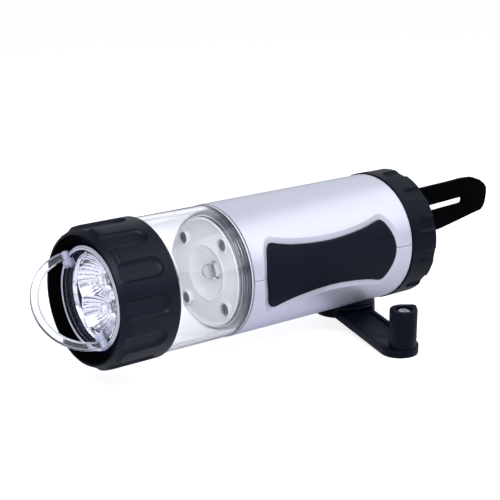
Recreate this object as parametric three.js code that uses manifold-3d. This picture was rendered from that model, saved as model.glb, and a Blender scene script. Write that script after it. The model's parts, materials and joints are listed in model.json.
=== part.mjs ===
// Hand crank torch: a round body of two silver shells with black grips, a clear lantern section, a black
// head ring with a clear lens and a swinging bail, a black tail cap with a hang loop, and underneath a
// folding crank that drives a dynamo through a gear train. Millimetres. The torch axis runs along X with
// the tail towards +X, +Z is up, and the crank is below.
import * as THREE from 'three'
import { mergeVertices } from 'three/addons/utils/BufferGeometryUtils.js'
import Module from 'manifold-3d'

const wasm = await Module()
wasm.setup()

// Clearances and drawing steps
const gap = 0.3
const overrun = 2
const roundSides = 40
const midSides = 24
const smallSides = 10
const domeSteps = 5
const footSteps = 14

// Body shells, from the lantern's rear edge to the tail cap
const bodyLength = 83.4
const bodyRadius = 26.3
const bodyWall = 2.4
const neckLength = 7.1
const neckStep = 2.1
const neckWall = 2
const neckShoulder = 1.9
const sealGrooveStart = 2.6
const sealGrooveWidth = 1.8
const sealGrooveDepth = 0.8

// Grip pads, one on each side, set in a recess with a sloped border
const gripFront = 6.5
const gripLength = 68.5
const gripHalfHeight = 12.8
const gripDepth = 1.5
const gripProud = 0.2
const gripBorder = 2
const gripBorderDepth = 0.6
const gripSteps = 36

// Clear lantern tube and what it holds
const lanternLength = 34.6
const lanternStep = 0.3
const lanternWall = 2
const tubeNeckLength = 9.4
const tubeNeckStep = 1.4
const tubeNeckWall = 2.1
const tubeShoulder = 1.3
const couplingFront = 2.6
const couplingRear = 8
const couplingWall = 1.9
const couplingWeb = 2
const couplingWebPlace = 3.4
const couplingWireHole = 4
const dishRim = 1.2
const dishDepth = 3.2
const dishHole = 3.6
const dishThickness = 1.2
const lanternScrewInset = 4.4
const lanternScrewHead = 2
const lanternScrewHeadHeight = 1.1
const lanternScrewRadius = 1.1
const lanternBoardRadius = 10
const lanternBoardThickness = 1
const lanternLedRadius = 3.2
const lanternLedHeight = 3.4
const coneBase = 1.5
const coneLength = 16
const coneInset = 1
const coneTip = 1.5

// Head ring and lens
const headLength = 24.7
const headStep = 1
const headBevel = 2.1
const headLipWall = 1
const headSlope = 4
const headSlopeStep = 0.25
const headRim = 1.4
const headRimStep = 0.85
const headRimChamfer = 0.4
const headConeDrop = 4
const headConeDepth = 2.7
const headFlange = 1
const lensMargin = 1.3
const lensThickness = 1.6
const lensWall = 1.3
const lensFlange = 1.3
const lensSealThickness = 0.5
const lensSealWidth = 2.4
const contactOffset = 3.2
const contactThickness = 1
const contactWidth = 2.1

// Scoops in the head ring and in the tail cap
const scoopCount = 12
const scoopSides = 20
const scoopRings = 4
const headScoopWidth = 7.8
const headScoopDepth = 1.3
const headScoopRear = 4.6
const capScoopWidth = 6.4
const capScoopDepth = 1.2
const capScoopFront = 3.4

// Reflector with its light emitting diodes, and the core that holds them
const reflectorFrontGap = 3.6
const reflectorDepth = 8.4
const cupCount = 3
const cupCircle = 6.2
const cupEdge = 0.8
const cupFloor = 2.6
const cupHole = 2.8
const cupSteps = 4
const cupSides = 24
const cupTurn = 11
const ledRadius = 2.5
const ledHeight = 5.4
const ledFlange = 2.7
const ledFlangeHeight = 0.8
const ledBoardThickness = 1.5
const coreBack = 2.5

// Swinging bail on two pins in the lens
const bailLean = 37.5
const bailTilt = 12
const bailOverhang = 0.2
const bailWidth = 3
const bailThickness = 2
const bailBarrel = 1.6
const bailPin = 0.7
const bailLugLength = 2.4
const bailLugWidth = 4
const bailSides = 26

// Crank: bush, hub, folding arm and knob
const crankSetback = 13.9
const crankReach = 48.1
const knobOffset = 2.7
const armDroop = 6
const crankAngle = 73
const bushRadius = 12.5
const bushPlate = 0.7
const bushSeatDepth = 1.9
const bushSleeve = 6
const hubRadius = 12.5
const hubBase = 1
const armWidth = 15.3
const armThickness = 3.3
const armRim = 1.5
const armPocketDepth = 1.1
const armPocketStart = 13
const armPocketEnd = 8.6
const hingePin = 0.8
const knobRadius = 5.45
const knobHeight = 15.1
const knobRidge = 6.85
const knobRidgeWidth = 1.6
const knobRidgeRootShare = 2.2
const knobRidgeTurn = -67
const knobBore = 2.7
const knobMouth = 3.5
const knobMouthDepth = 3.2
const knobPost = 2.4
const knobScrewHead = 2.9
const knobScrewHeadHeight = 1.3
const knobScrewRadius = 1
const knobScrewLength = 8
const crankShaft = 2.5

// Gear train from the crank to the dynamo
const crankGearRadius = 13
const crankTeeth = 26
const crankPinionTeeth = 9
const idlerGearRadius = 10.5
const idlerTeeth = 30
const rotorPinionTeeth = 9
const addendumShare = 0.75
const dedendumShare = 1.2
const backlash = 0.3
const rootShare = 0.8
const pressureAngle = 20
const crankGearLift = 8
const crankGearHeight = 3
const idlerPinionHeight = 3.5
const idlerStep = 0.8
const idlerCollar = 2.4
const idlerGearHeight = 2
const rotorPinionHeight = 2.5
const frameOverhang = 1.2
const framePlate = 1.5
const frameDrop = 0.5
const frameHeight = 7.8
const frameUpperPlate = 1.4
const frameUpperHalfWidth = 18
const pillarRadius = 1.6
const pillarInset = 2.2
const axlePin = 1.2

// Dynamo
const rotorRadius = 6
const rotorLift = 0.8
const statorWall = 2.6
const coilWall = 2
const rotorShaftTop = 1.8

// Battery pack and boards
const cellRadius = 5.2
const cellLength = 44.5
const cellNub = 1.6
const cellNubHeight = 0.8
const cellCount = 3
const cellInset = 11.1
const trayThickness = 1.2
const contactPlate = 0.8
const contactPlateHeight = 8
const contactPlateHalfWidth = 15.4
const mainBoardOffset = 1
const mainBoardThickness = 1.6

// Tail cap and hang loop
const capLength = 14.8
const capStep = 0.5
const capFit = 0.7
const capRimChamfer = 0.4
const capRearChamfer = 1.1
const capEnd = 4
const capBoreClearance = 0.6
const sealWidth = 1.2
const loopPinOffset = 3.4
const loopPin = 1
const loopBarrel = 2.3
const loopCentreZ = 5.6
const loopWidth = 21
const loopLength = 55.7
const loopThickness = 2.6
const loopSlot = 2.8
const loopSlotSteps = 6
const loopLugThickness = 3
const loopLugHalf = 2.6

// Radii and places along the axis, worked out from the sizes
const lanternRadius = bodyRadius - lanternStep
const headRadius = lanternRadius + headStep
const headLipRadius = headRadius - headBevel
const headMouthRadius = headLipRadius - headConeDrop
const lensRadius = headMouthRadius - lensMargin
const bailRadius = lensRadius + bailOverhang
const capRadius = bodyRadius + capStep
const crankX = bodyLength - crankSetback
const shellInner = bodyRadius - bodyWall
const neckOuter = bodyRadius - neckStep
const neckInner = neckOuter - neckWall
const neckEnd = bodyLength + neckLength
const tubeNeckOuter = lanternRadius - tubeNeckStep
const tubeNeckInner = tubeNeckOuter - tubeNeckWall
const tubeInner = lanternRadius - lanternWall
const headRear = -lanternLength
const headFront = headRear - headLength
const headInner = tubeNeckOuter + gap
const lensFace = headFront + headConeDepth
const lensFlangeFront = lensFace + headFlange + gap
const lensFlangeRear = lensFlangeFront + lensFlange
const coreFront = lensFlangeRear + gap + lensSealThickness + gap
const coreRadius = tubeNeckInner - gap
const reflectorRadius = lensRadius - lensWall - gap
const cupRadius = reflectorRadius - cupCircle - cupEdge
const reflectorFront = lensFace + lensThickness + reflectorFrontGap
const reflectorRear = reflectorFront + reflectorDepth
const ledBoardFront = reflectorRear + gap
const coreFloor = ledBoardFront + ledBoardThickness + gap
const coreRear = coreFloor + coreBack
const bailPivotX = lensFace - gap - bailBarrel
const couplingRadius = Math.min(tubeInner, shellInner) - gap
const couplingInner = couplingRadius - couplingWall
const lanternScrewCircle = couplingInner - lanternScrewInset
const webRear = couplingWebPlace + couplingWeb
const capFront = bodyLength + gap
const capRear = capFront + capLength
const loopPinX = capRear + loopPinOffset

// Heights under the body, worked out from the sizes
const seatZ = -(bodyRadius - bushSeatDepth)
const bushTopZ = seatZ - gap
const bushBottomZ = bushTopZ - bushPlate
const hubTopZ = bushBottomZ - gap
const hubBaseZ = hubTopZ - hubBase
const knobReach = crankReach + knobOffset
const armHalf = armThickness / 2
const hingeZ = hubBaseZ - gap - armHalf
const hubBottomZ = hingeZ - armHalf

// Heights in the arm's own group, which has its origin on the hinge pin
const knobBaseZ = armHalf + gap
const knobTopZ = knobBaseZ + knobHeight
const postTopZ = knobTopZ - knobMouthDepth

// Gears and dynamo
const crankModule = 2 * crankGearRadius / crankTeeth
const rotorModule = 2 * idlerGearRadius / idlerTeeth
const crankGearZ = seatZ + crankGearLift
const frameUpperZ = crankGearZ + frameHeight
const idlerX = crankX - crankModule * (crankTeeth + crankPinionTeeth) / 2
const rotorX = idlerX - rotorModule * (idlerTeeth + rotorPinionTeeth) / 2
const idlerGearZ = crankGearZ + idlerPinionHeight + idlerStep
const frameTopZ = crankGearZ - frameDrop
const frameBottomZ = frameTopZ - framePlate
const frameHalfWidth = Math.sqrt(shellInner ** 2 - frameBottomZ ** 2) - gap
const frameRearX = bodyLength - neckShoulder - gap
const statorZ = frameUpperZ + frameUpperPlate + gap
const rotorZ = statorZ + rotorLift
const statorInner = rotorRadius + 2 * gap
const coilOuter = statorInner + statorWall + gap + coilWall
const frameFrontX = rotorX - coilOuter - frameOverhang
const shaftRadialFit = axlePin + gap

// Battery places, and the room that they leave for the rotor
const cellHeightZ = shellInner - cellInset
const trayTopZ = cellHeightZ - cellRadius - gap
const trayBottomZ = trayTopZ - trayThickness
const rotorTopZ = trayBottomZ - 2 * gap - rotorShaftTop
const trayHalfWidth = Math.sqrt(shellInner ** 2 - trayTopZ ** 2) - gap
const cellPitch = 2 * cellRadius + gap
const rearPlateX = bodyLength - neckShoulder
const cellRearX = rearPlateX - gap
const cellFrontX = cellRearX - cellLength
const frontPlateX = cellFrontX - cellNubHeight - gap - contactPlate

// Finishes
const finish = (color, roughness, metalness = 0, opacity = 1) =>
  new THREE.MeshStandardMaterial({ color, roughness, metalness, opacity, transparent: opacity < 1 })
const silver = finish(0xd4d6e2, 0.28, 0.5)
const black = finish(0x22252f, 0.42)
const rubber = finish(0x171b25, 0.7)
const clear = finish(0xe9ecf7, 0.06, 0, 0.35)
const chrome = finish(0xe2e3ea, 0.1, 1)
const white = finish(0xeff0f6, 0.4)
const grey = finish(0x8d90a0, 0.5)
const steel = finish(0xb4b6ba, 0.3, 1)
const brass = finish(0xc7a45a, 0.35, 1)
const copper = finish(0xb9683e, 0.4, 1)
const board = finish(0x2f6b4a, 0.6)
const nylon = finish(0xe3e0d2, 0.5)
const emitter = finish(0xf6f4d8, 0.2)
const cellSkin = finish(0x4a7c5b, 0.45)
const strapBlack = finish(0x14151b, 0.55)

// Turn a closed geometry into a solid and back, so that solids can be joined and cut
function toSolid(geometry) {
  const bare = geometry.clone()
  bare.deleteAttribute('normal')
  bare.deleteAttribute('uv')
  const merged = mergeVertices(bare)
  const corners = merged.index.array
  const kept = []
  for (let i = 0; i < corners.length; i += 3) {
    const [a, b, c] = [corners[i], corners[i + 1], corners[i + 2]]
    if (a !== b && b !== c && c !== a) kept.push(a, b, c)
  }
  return new wasm.Manifold(new wasm.Mesh({
    numProp: 3,
    vertProperties: new Float32Array(merged.attributes.position.array),
    triVerts: new Uint32Array(kept)
  }))
}

function fromSolid(solid) {
  const mesh = solid.getMesh()
  const geometry = new THREE.BufferGeometry()
  geometry.setAttribute('position', new THREE.BufferAttribute(new Float32Array(mesh.vertProperties), 3))
  geometry.setIndex([...mesh.triVerts])
  geometry.computeVertexNormals()
  return geometry
}

const combine = (step) => (first, ...others) =>
  fromSolid(others.reduce((whole, other) => whole[step](toSolid(other)), toSolid(first)))
const join = combine('add')
const cut = combine('subtract')
const common = combine('intersect')

// Basic forms. A profile is a list of [x, radius], an outline a list of [across, up].
function turned(profile, sides = roundSides) {
  const points = profile.map(([x, radius]) => new THREE.Vector2(radius, x))
  const area = points.reduce((sum, p, i) => {
    const q = points[(i + 1) % points.length]
    return sum + p.x * q.y - q.x * p.y
  }, 0)
  if (area < 0) points.reverse()
  points.push(points[0].clone())
  return new THREE.LatheGeometry(points, sides).rotateZ(-Math.PI / 2)
}

const tube = (x0, x1, inner, outer, sides) =>
  turned([[x0, inner], [x0, outer], [x1, outer], [x1, inner]], sides)
const rodX = (x0, x1, radius, sides = smallSides) =>
  new THREE.CylinderGeometry(radius, radius, x1 - x0, sides).rotateZ(Math.PI / 2).translate((x0 + x1) / 2, 0, 0)
const rodY = (y0, y1, radius, sides = smallSides) =>
  new THREE.CylinderGeometry(radius, radius, y1 - y0, sides).translate(0, (y0 + y1) / 2, 0)
const rodZ = (z0, z1, radius, sides = smallSides) =>
  new THREE.CylinderGeometry(radius, radius, z1 - z0, sides).rotateX(Math.PI / 2).translate(0, 0, (z0 + z1) / 2)
const block = (x0, x1, y0, y1, z0, z1) =>
  new THREE.BoxGeometry(x1 - x0, y1 - y0, z1 - z0).translate((x0 + x1) / 2, (y0 + y1) / 2, (z0 + z1) / 2)

function prismZ(outline, z0, z1) {
  const shape = new THREE.Shape(outline.map(([x, y]) => new THREE.Vector2(x, y)))
  return new THREE.ExtrudeGeometry(shape, { depth: z1 - z0, bevelEnabled: false }).translate(0, 0, z0)
}

const prismY = (outline, y0, y1) => prismZ(outline, -y1, -y0).rotateX(Math.PI / 2)

// A round arc as outline points, angles in degrees
function arc(centreX, centreY, radius, from, to, steps) {
  const points = []
  for (let i = 0; i <= steps; i++) {
    const angle = THREE.MathUtils.degToRad(from + (to - from) * i / steps)
    points.push([centreX + radius * Math.cos(angle), centreY + radius * Math.sin(angle)])
  }
  return points
}

// A smooth closed outline through chosen points
function smooth(points, steps) {
  const curve = new THREE.CatmullRomCurve3(points.map(([x, y]) => new THREE.Vector3(x, y, 0)), true)
  return curve.getPoints(steps).slice(0, -1).map((p) => [p.x, p.y])
}

// Move every point of a closed outline outwards by one distance
function grown(outline, distance) {
  return outline.map(([x, y], i) => {
    const [ax, ay] = outline[(i + outline.length - 1) % outline.length]
    const [bx, by] = outline[(i + 1) % outline.length]
    const length = Math.hypot(bx - ax, by - ay)
    return [x + distance * (by - ay) / length, y - distance * (bx - ax) / length]
  })
}

// The group that holds the whole torch, with nested groups for the crank, its drooping arm and the bail
const torch = new THREE.Group()
const crankGroup = new THREE.Group()
crankGroup.position.set(crankX, 0, 0)
crankGroup.rotation.z = THREE.MathUtils.degToRad(crankAngle - 180)
torch.add(crankGroup)
const armGroup = new THREE.Group()
armGroup.position.set(0, 0, hingeZ)
armGroup.rotation.y = THREE.MathUtils.degToRad(armDroop)
crankGroup.add(armGroup)
const bailGroup = new THREE.Group()
bailGroup.position.set(bailPivotX, 0, 0)
bailGroup.rotation.x = THREE.MathUtils.degToRad(-bailLean)
torch.add(bailGroup)

function place(name, geometry, material, group = torch) {
  const mesh = new THREE.Mesh(geometry, material)
  mesh.name = name
  group.add(mesh)
  return mesh
}

// Grip outline: shares of the grip's length and half height, one side of the seam, front to rear
const gripShares = [
  [0, 0], [0.012, 0.48], [0.03, 0.83], [0.06, 1], [0.1, 0.96], [0.2, 0.85], [0.34, 0.765], [0.49, 0.73],
  [0.61, 0.755], [0.73, 0.82], [0.82, 0.9], [0.885, 0.985], [0.915, 0.98], [0.94, 0.86], [0.967, 0.63],
  [0.99, 0.34], [1, 0]
]

function gripOutline() {
  const upper = gripShares.map(([along, up]) => [gripFront + gripLength * along, gripHalfHeight * up])
  const lower = upper.slice(1, -1).map(([x, z]) => [x, -z])
  return smooth([...lower, ...upper.reverse()], gripSteps)
}

// What lies outside one radius within an outline, on one side of the body
function gripTool(side, grow, floorRadius) {
  const reach = bodyRadius + overrun
  const outline = grown(gripOutline(), grow)
  const slab = side < 0 ? prismY(outline, -reach, -bodyRadius / 2) : prismY(outline, bodyRadius / 2, reach)
  return cut(slab, tube(-overrun, bodyLength + overrun, 0, floorRadius))
}

function gripPad(side) {
  const outer = bodyRadius + gripProud
  return common(gripTool(side, 0, bodyRadius - gripDepth + gap), tube(0, bodyLength, 0, outer))
}

// Body shells: one turned wall, split along the seam, with recesses for the grips
function bodyWallSolid() {
  const grooveStart = bodyLength + sealGrooveStart
  const grooveEnd = grooveStart + sealGrooveWidth
  const wall = turned([
    [0, shellInner], [0, bodyRadius], [bodyLength, bodyRadius], [bodyLength, neckOuter],
    [grooveStart, neckOuter], [grooveStart, neckOuter - sealGrooveDepth],
    [grooveEnd, neckOuter - sealGrooveDepth], [grooveEnd, neckOuter], [neckEnd, neckOuter],
    [neckEnd, neckInner], [bodyLength - neckShoulder, neckInner], [bodyLength - neckShoulder, shellInner]
  ])
  const tools = [-1, 1].flatMap((side) => [
    gripTool(side, gripBorder, bodyRadius - gripBorderDepth),
    gripTool(side, gap, bodyRadius - gripDepth)
  ])
  return cut(wall, ...tools)
}

function upperShell(wall) {
  const reach = bodyRadius + overrun
  return common(wall, block(-overrun, neckEnd + overrun, -reach, reach, gap / 2, reach))
}

function lowerShell(wall) {
  const reach = bodyRadius + overrun
  const half = common(wall, block(-overrun, neckEnd + overrun, -reach, reach, -reach, -gap / 2))
  const seat = rodZ(-reach, seatZ, bushRadius + gap, midSides).translate(crankX, 0, 0)
  const hole = rodZ(-reach, 0, bushSleeve + gap, midSides).translate(crankX, 0, 0)
  return cut(half, seat, hole)
}

// Clear lantern tube with a stepped neck that goes into the head ring
function lanternTube() {
  const shoulder = headRear + gap
  const neckFront = headRear - tubeNeckLength
  return turned([
    [neckFront, tubeNeckInner], [neckFront, tubeNeckOuter], [shoulder, tubeNeckOuter],
    [shoulder, lanternRadius], [-gap, lanternRadius], [-gap, tubeInner],
    [shoulder + tubeShoulder, tubeInner], [shoulder + tubeShoulder, tubeNeckInner]
  ])
}

const lanternScrewAngles = [45, 135, 225, 315]
const onCircle = (radius, degrees) => {
  const angle = THREE.MathUtils.degToRad(degrees)
  return [-radius * Math.cos(angle), radius * Math.sin(angle)]
}

function couplingRing() {
  const ring = turned([
    [-couplingFront, couplingInner], [-couplingFront, couplingRadius], [couplingRear, couplingRadius],
    [couplingRear, couplingInner], [webRear, couplingInner], [webRear, couplingWireHole],
    [couplingWebPlace, couplingWireHole], [couplingWebPlace, couplingInner]
  ], midSides)
  return cut(ring, ...lanternScrewAngles.map((degrees) => {
    const [y, z] = onCircle(lanternScrewCircle, degrees)
    return rodX(-couplingFront, couplingRear, lanternScrewRadius + gap).translate(0, y, z)
  }))
}

function lanternReflector() {
  const radius = couplingInner - gap
  const hollow = -couplingFront + dishDepth
  const dish = turned([
    [-couplingFront, radius], [-couplingFront, radius - dishRim], [hollow, dishHole],
    [hollow + dishThickness, dishHole], [-couplingFront + dishThickness, radius]
  ], midSides)
  return cut(dish, ...lanternScrewAngles.map((degrees) => {
    const [y, z] = onCircle(lanternScrewCircle, degrees)
    return rodX(-couplingFront - overrun, couplingWebPlace, lanternScrewRadius + gap).translate(0, y, z)
  }))
}

function lanternScrew(degrees) {
  const [y, z] = onCircle(lanternScrewCircle, degrees)
  const seat = -couplingFront - gap
  return turned([
    [seat - lanternScrewHeadHeight, 0], [seat - lanternScrewHeadHeight, lanternScrewHead],
    [seat, lanternScrewHead], [seat, lanternScrewRadius], [webRear, lanternScrewRadius], [webRear, 0]
  ], smallSides).translate(0, y, z)
}

const lanternBoardFront = couplingWebPlace - gap - lanternBoardThickness

function lanternBoard() {
  return rodX(lanternBoardFront, couplingWebPlace - gap, lanternBoardRadius, midSides)
}

// A round dome as profile points, from its rim at x towards -X
const dome = (x, radius, depth, steps) =>
  arc(0, 0, 1, 90, 0, steps).map(([along, up]) => [x - depth * along, radius * up])

function lanternLed() {
  const rear = lanternBoardFront - gap
  const front = rear - lanternLedHeight
  return turned([[rear, 0], [rear, lanternLedRadius], ...dome(front, lanternLedRadius, lanternLedRadius, domeSteps)],
    smallSides)
}

function lanternCone() {
  const rear = coreRear + gap
  const radius = tubeNeckInner - coneInset
  return turned([
    [rear, 0], [rear, radius], [rear + coneBase, radius], [rear + coneBase + coneLength, coneTip],
    [rear + coneBase + coneLength, 0]
  ], midSides)
}

// A scoop cutter lies along X with a round end: it leaves a shallow trough of the given width and depth
function scoopTool(surface, width, depth, closedX, openX, degrees) {
  const radius = (width ** 2 / 4 + depth ** 2) / (2 * depth)
  const end = openX < closedX ? -1 : 1
  const cap = arc(0, 0, radius, 90, 0, scoopRings).map(([along, up]) => [
    closedX + end * (width / 2 - Math.min(along, radius) * width / 2 / radius), up
  ])
  const profile = [[openX, 0], [openX, radius], ...cap]
  const angle = THREE.MathUtils.degToRad(degrees)
  return turned(profile, scoopSides).translate(0, 0, surface - depth + radius).rotateX(angle)
}

function headBezel() {
  const ring = turned([
    [headRear, headInner], [headRear, headRadius - headRimChamfer], [headRear - headRimChamfer, headRadius],
    [headFront + headSlope, headRadius - headSlopeStep], [headFront + headRim, headLipRadius + headRimStep],
    [headFront, headLipRadius],
    [headFront, headLipRadius - headLipWall], [lensFace, headMouthRadius],
    [lensFace + headFlange, headMouthRadius], [lensFace + headFlange, headInner]
  ])
  const scoops = Array.from({ length: scoopCount }, (_, i) =>
    scoopTool(headRadius, headScoopWidth, headScoopDepth, headRear - headScoopRear, headFront - overrun,
      90 + 360 * i / scoopCount))
  return cut(ring, ...scoops)
}

// Clear lens: a flat disc with a side wall and a flange, and two lugs that hold the bail's pins
function frontLens() {
  const disc = turned([
    [lensFace, 0], [lensFace, lensRadius], [lensFlangeFront, lensRadius],
    [lensFlangeFront, headInner - gap], [lensFlangeRear, headInner - gap],
    [lensFlangeRear, lensRadius - lensWall], [lensFace + lensThickness, lensRadius - lensWall],
    [lensFace + lensThickness, 0]
  ])
  const lugOuter = bailRadius - bailWidth - gap
  const lugs = [-1, 1].map((end) => {
    const near = end * lugOuter
    const far = end * (lugOuter - bailLugLength)
    return block(bailPivotX - bailBarrel, lensFace + lensThickness / 2, -bailLugWidth / 2, bailLugWidth / 2,
      Math.min(near, far), Math.max(near, far))
  })
  const bore = rodZ(-bailRadius, bailRadius, bailPin + gap).translate(bailPivotX, 0, 0)
  const lean = THREE.MathUtils.degToRad(-bailLean)
  return cut(join(disc, ...lugs.map((lug) => lug.rotateX(lean))), bore.rotateX(lean))
}

// Bail: a flat half ring with a barrel at each end, in the group that leans with the pivot line
function bail() {
  const inner = bailRadius - bailWidth
  const outline = [...arc(0, 0, bailRadius, 90, 270, bailSides), ...arc(0, 0, inner, 270, 90, bailSides)]
  const band = prismY(outline, -bailThickness / 2, bailThickness / 2)
  const barrels = [-1, 1].map((end) =>
    rodZ(Math.min(end * inner, end * bailRadius), Math.max(end * inner, end * bailRadius), bailBarrel))
  const reach = bailRadius + overrun
  return cut(join(band, ...barrels), rodZ(-reach, reach, bailPin + gap))
}

function bailPinSolid(end) {
  const inner = bailRadius - bailWidth - bailLugLength
  return rodZ(Math.min(end * inner, end * bailRadius), Math.max(end * inner, end * bailRadius), bailPin)
}

const lensSeal = () => tube(lensFlangeRear + gap, lensFlangeRear + gap + lensSealThickness,
  coreRadius - lensSealWidth, coreRadius, midSides)
const twistContact = () => tube(coreFront + contactOffset, coreFront + contactOffset + contactThickness,
  headInner - gap - contactWidth, headInner - gap, midSides)

// Core: a cup that plugs into the tube's neck and holds the reflector and its board
function headCore() {
  const inner = reflectorRadius + gap
  return turned([
    [coreFront, inner], [coreFront, coreRadius], [coreRear, coreRadius], [coreRear, 0], [coreFloor, 0],
    [coreFloor, inner]
  ], midSides)
}

const cupAngles = Array.from({ length: cupCount }, (_, i) => cupTurn + 360 * i / cupCount)

function torchReflector() {
  const plug = rodX(reflectorFront, reflectorRear, reflectorRadius, midSides)
  const depth = reflectorDepth - cupFloor
  const bowl = Array.from({ length: cupSteps + 1 }, (_, i) => {
    const share = 1 - i / cupSteps
    return [reflectorFront + depth * (1 - share ** 2), Math.max(cupHole, cupRadius * share)]
  })
  const cup = [[reflectorFront - overrun, 0], [reflectorFront - overrun, cupRadius], ...bowl,
    [reflectorRear + overrun, cupHole], [reflectorRear + overrun, 0]]
  return cut(plug, ...cupAngles.map((degrees) => {
    const [y, z] = onCircle(cupCircle, degrees)
    return turned(cup, cupSides).translate(0, y, z)
  }))
}

function torchLed(degrees) {
  const [y, z] = onCircle(cupCircle, degrees)
  const rear = ledBoardFront - gap
  return turned([
    [rear, 0], [rear, ledFlange - gap], [rear - ledFlangeHeight, ledFlange - gap],
    [rear - ledFlangeHeight, ledRadius - gap], ...dome(rear - ledHeight, ledRadius - gap, ledRadius, domeSteps)
  ], smallSides).translate(0, y, z)
}

const torchLedBoard = () =>
  rodX(ledBoardFront, ledBoardFront + ledBoardThickness, reflectorRadius, midSides)

// Bush: a plate on a flat seat under the body, filled out to the round body, with a sleeve for the shaft
function crankBush() {
  const plate = rodZ(bushBottomZ, bushTopZ, bushRadius, midSides)
  const fill = rodZ(bushBottomZ, -bodyRadius / 2, bushRadius, midSides)
  const round = tube(-bodyRadius, bodyRadius, 0, bodyRadius + gap)
  const sleeve = rodZ(bushTopZ - bushPlate / 2, frameBottomZ - gap, bushSleeve, midSides)
  return cut(join(plate, cut(fill, round), sleeve), rodZ(-bodyRadius - overrun, 0, crankShaft + gap))
}

// Hub: a disc with two cheeks that hold the arm's hinge pin
function crankHub() {
  const half = armWidth / 2 + gap
  const disc = rodZ(hubBaseZ, hubTopZ, hubRadius, midSides)
  const whole = rodZ(hubBottomZ, hubBaseZ + hubBase / 2, hubRadius, midSides)
  const slot = block(-hubRadius, hubRadius, -half, half, hubBottomZ - overrun, hubBaseZ)
  const bore = rodY(-hubRadius, hubRadius, hingePin + gap).translate(0, 0, hingeZ)
  return cut(join(disc, cut(whole, slot)), bore, rodZ(hubBottomZ - overrun, 0, crankShaft + gap))
}

const hingePinSolid = () => {
  const reach = Math.sqrt(hubRadius ** 2 - (hingePin + gap) ** 2) - gap
  return rodY(-reach, reach, hingePin).translate(0, 0, hingeZ)
}

// Arm: a flat channel with a round foot, a round root on the hinge pin, and a post for the knob
function crankArm() {
  const half = armWidth / 2
  const outline = [[0, -half], [crankReach, -half], ...arc(crankReach, 0, half, -90, 90, footSteps).slice(1, -1),
    [crankReach, half], [0, half]]
  const plate = prismZ(outline, -armHalf, armHalf)
  const roll = rodY(-half, half, armHalf)
  const pocket = block(armPocketStart, crankReach - armPocketEnd, armRim - half, half - armRim,
    armHalf - armPocketDepth, armHalf + overrun)
  const post = rodZ(0, postTopZ, knobPost).translate(knobReach, 0, 0)
  const pilot = rodZ(postTopZ - knobScrewLength - gap, postTopZ + overrun, knobScrewRadius + gap)
  const bore = rodY(-armWidth, armWidth, hingePin + gap)
  return cut(join(plate, roll, post), pocket, bore, pilot.translate(knobReach, 0, 0))
}

// Knob: round with a blunt ridge on its tail side, a bore for the post and a wider mouth for the screw
function crankKnob() {
  const ridge = knobRidgeWidth / 2
  const meet = Math.asin(knobRidgeRootShare * knobRidgeWidth / knobRadius) * 180 / Math.PI
  const outline = [...arc(0, 0, knobRadius, -180 + meet, 180 - meet, 2 * footSteps), [-knobRidge, ridge],
    [-knobRidge, -ridge]]
  const body = prismZ(outline, knobBaseZ, knobTopZ).rotateZ(THREE.MathUtils.degToRad(knobRidgeTurn))
  const bore = rodZ(knobBaseZ - overrun, knobTopZ, knobBore)
  const mouth = rodZ(knobTopZ - knobMouthDepth, knobTopZ + overrun, knobMouth)
  return cut(body, bore, mouth)
}

function knobScrew() {
  const seat = postTopZ + gap
  const head = rodZ(seat, seat + knobScrewHeadHeight, knobScrewHead)
  return join(head, rodZ(postTopZ - knobScrewLength, seat + knobScrewHeadHeight / 2, knobScrewRadius))
}

const shaftTopZ = frameUpperZ + frameUpperPlate - gap
const crankShaftSolid = () => rodZ(hubBaseZ, shaftTopZ, crankShaft).translate(crankX, 0, 0)

// Gear outline with involute flanks, a tooth centred on +X before it is turned
function gearOutline(teeth, module, turn) {
  const pitch = teeth * module / 2
  const base = pitch * Math.cos(THREE.MathUtils.degToRad(pressureAngle))
  const root = pitch - dedendumShare * module
  const tip = pitch + addendumShare * module
  const involute = (radius) => {
    const bend = Math.acos(Math.min(1, base / radius))
    return Math.tan(bend) - bend
  }
  const halfAtPitch = Math.PI / 2 / teeth - backlash / 2 / pitch
  const half = (radius) => halfAtPitch + involute(pitch) - involute(radius)
  const flankPoints = [[root, half(Math.max(base, root)) * rootShare], [pitch, halfAtPitch], [tip, half(tip)]]
  const points = []
  for (let tooth = 0; tooth < teeth; tooth++) {
    const centre = turn + 2 * Math.PI * tooth / teeth
    const flank = (side) => flankPoints.map(([radius, angle]) => [radius, centre + side * angle])
    for (const [radius, angle] of [...flank(-1), ...flank(1).reverse()]) {
      points.push([radius * Math.cos(angle), radius * Math.sin(angle)])
    }
  }
  return points
}

// Teeth of two meshing gears: the driving one has a tooth on the line between them, the driven a space
const toothTurn = Math.PI
const spaceTurn = (teeth) => Math.PI / teeth

const crankGear = () => cut(prismZ(gearOutline(crankTeeth, crankModule, toothTurn), crankGearZ,
  crankGearZ + crankGearHeight), rodZ(-bodyRadius, 0, crankShaft + gap)).translate(crankX, 0, 0)

function idlerGear() {
  const pinionTop = crankGearZ + idlerPinionHeight
  const pinion = prismZ(gearOutline(crankPinionTeeth, crankModule, spaceTurn(crankPinionTeeth)),
    crankGearZ, pinionTop)
  const collar = rodZ(pinionTop - idlerStep, idlerGearZ + idlerStep, idlerCollar)
  const wheel = prismZ(gearOutline(idlerTeeth, rotorModule, toothTurn), idlerGearZ,
    idlerGearZ + idlerGearHeight)
  return cut(join(pinion, collar, wheel), rodZ(-bodyRadius, 0, shaftRadialFit)).translate(idlerX, 0, 0)
}

const rotorPinion = () => cut(prismZ(gearOutline(rotorPinionTeeth, rotorModule, spaceTurn(rotorPinionTeeth)),
  idlerGearZ, idlerGearZ + rotorPinionHeight), rodZ(-bodyRadius, 0, shaftRadialFit)).translate(rotorX, 0, 0)

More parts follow.
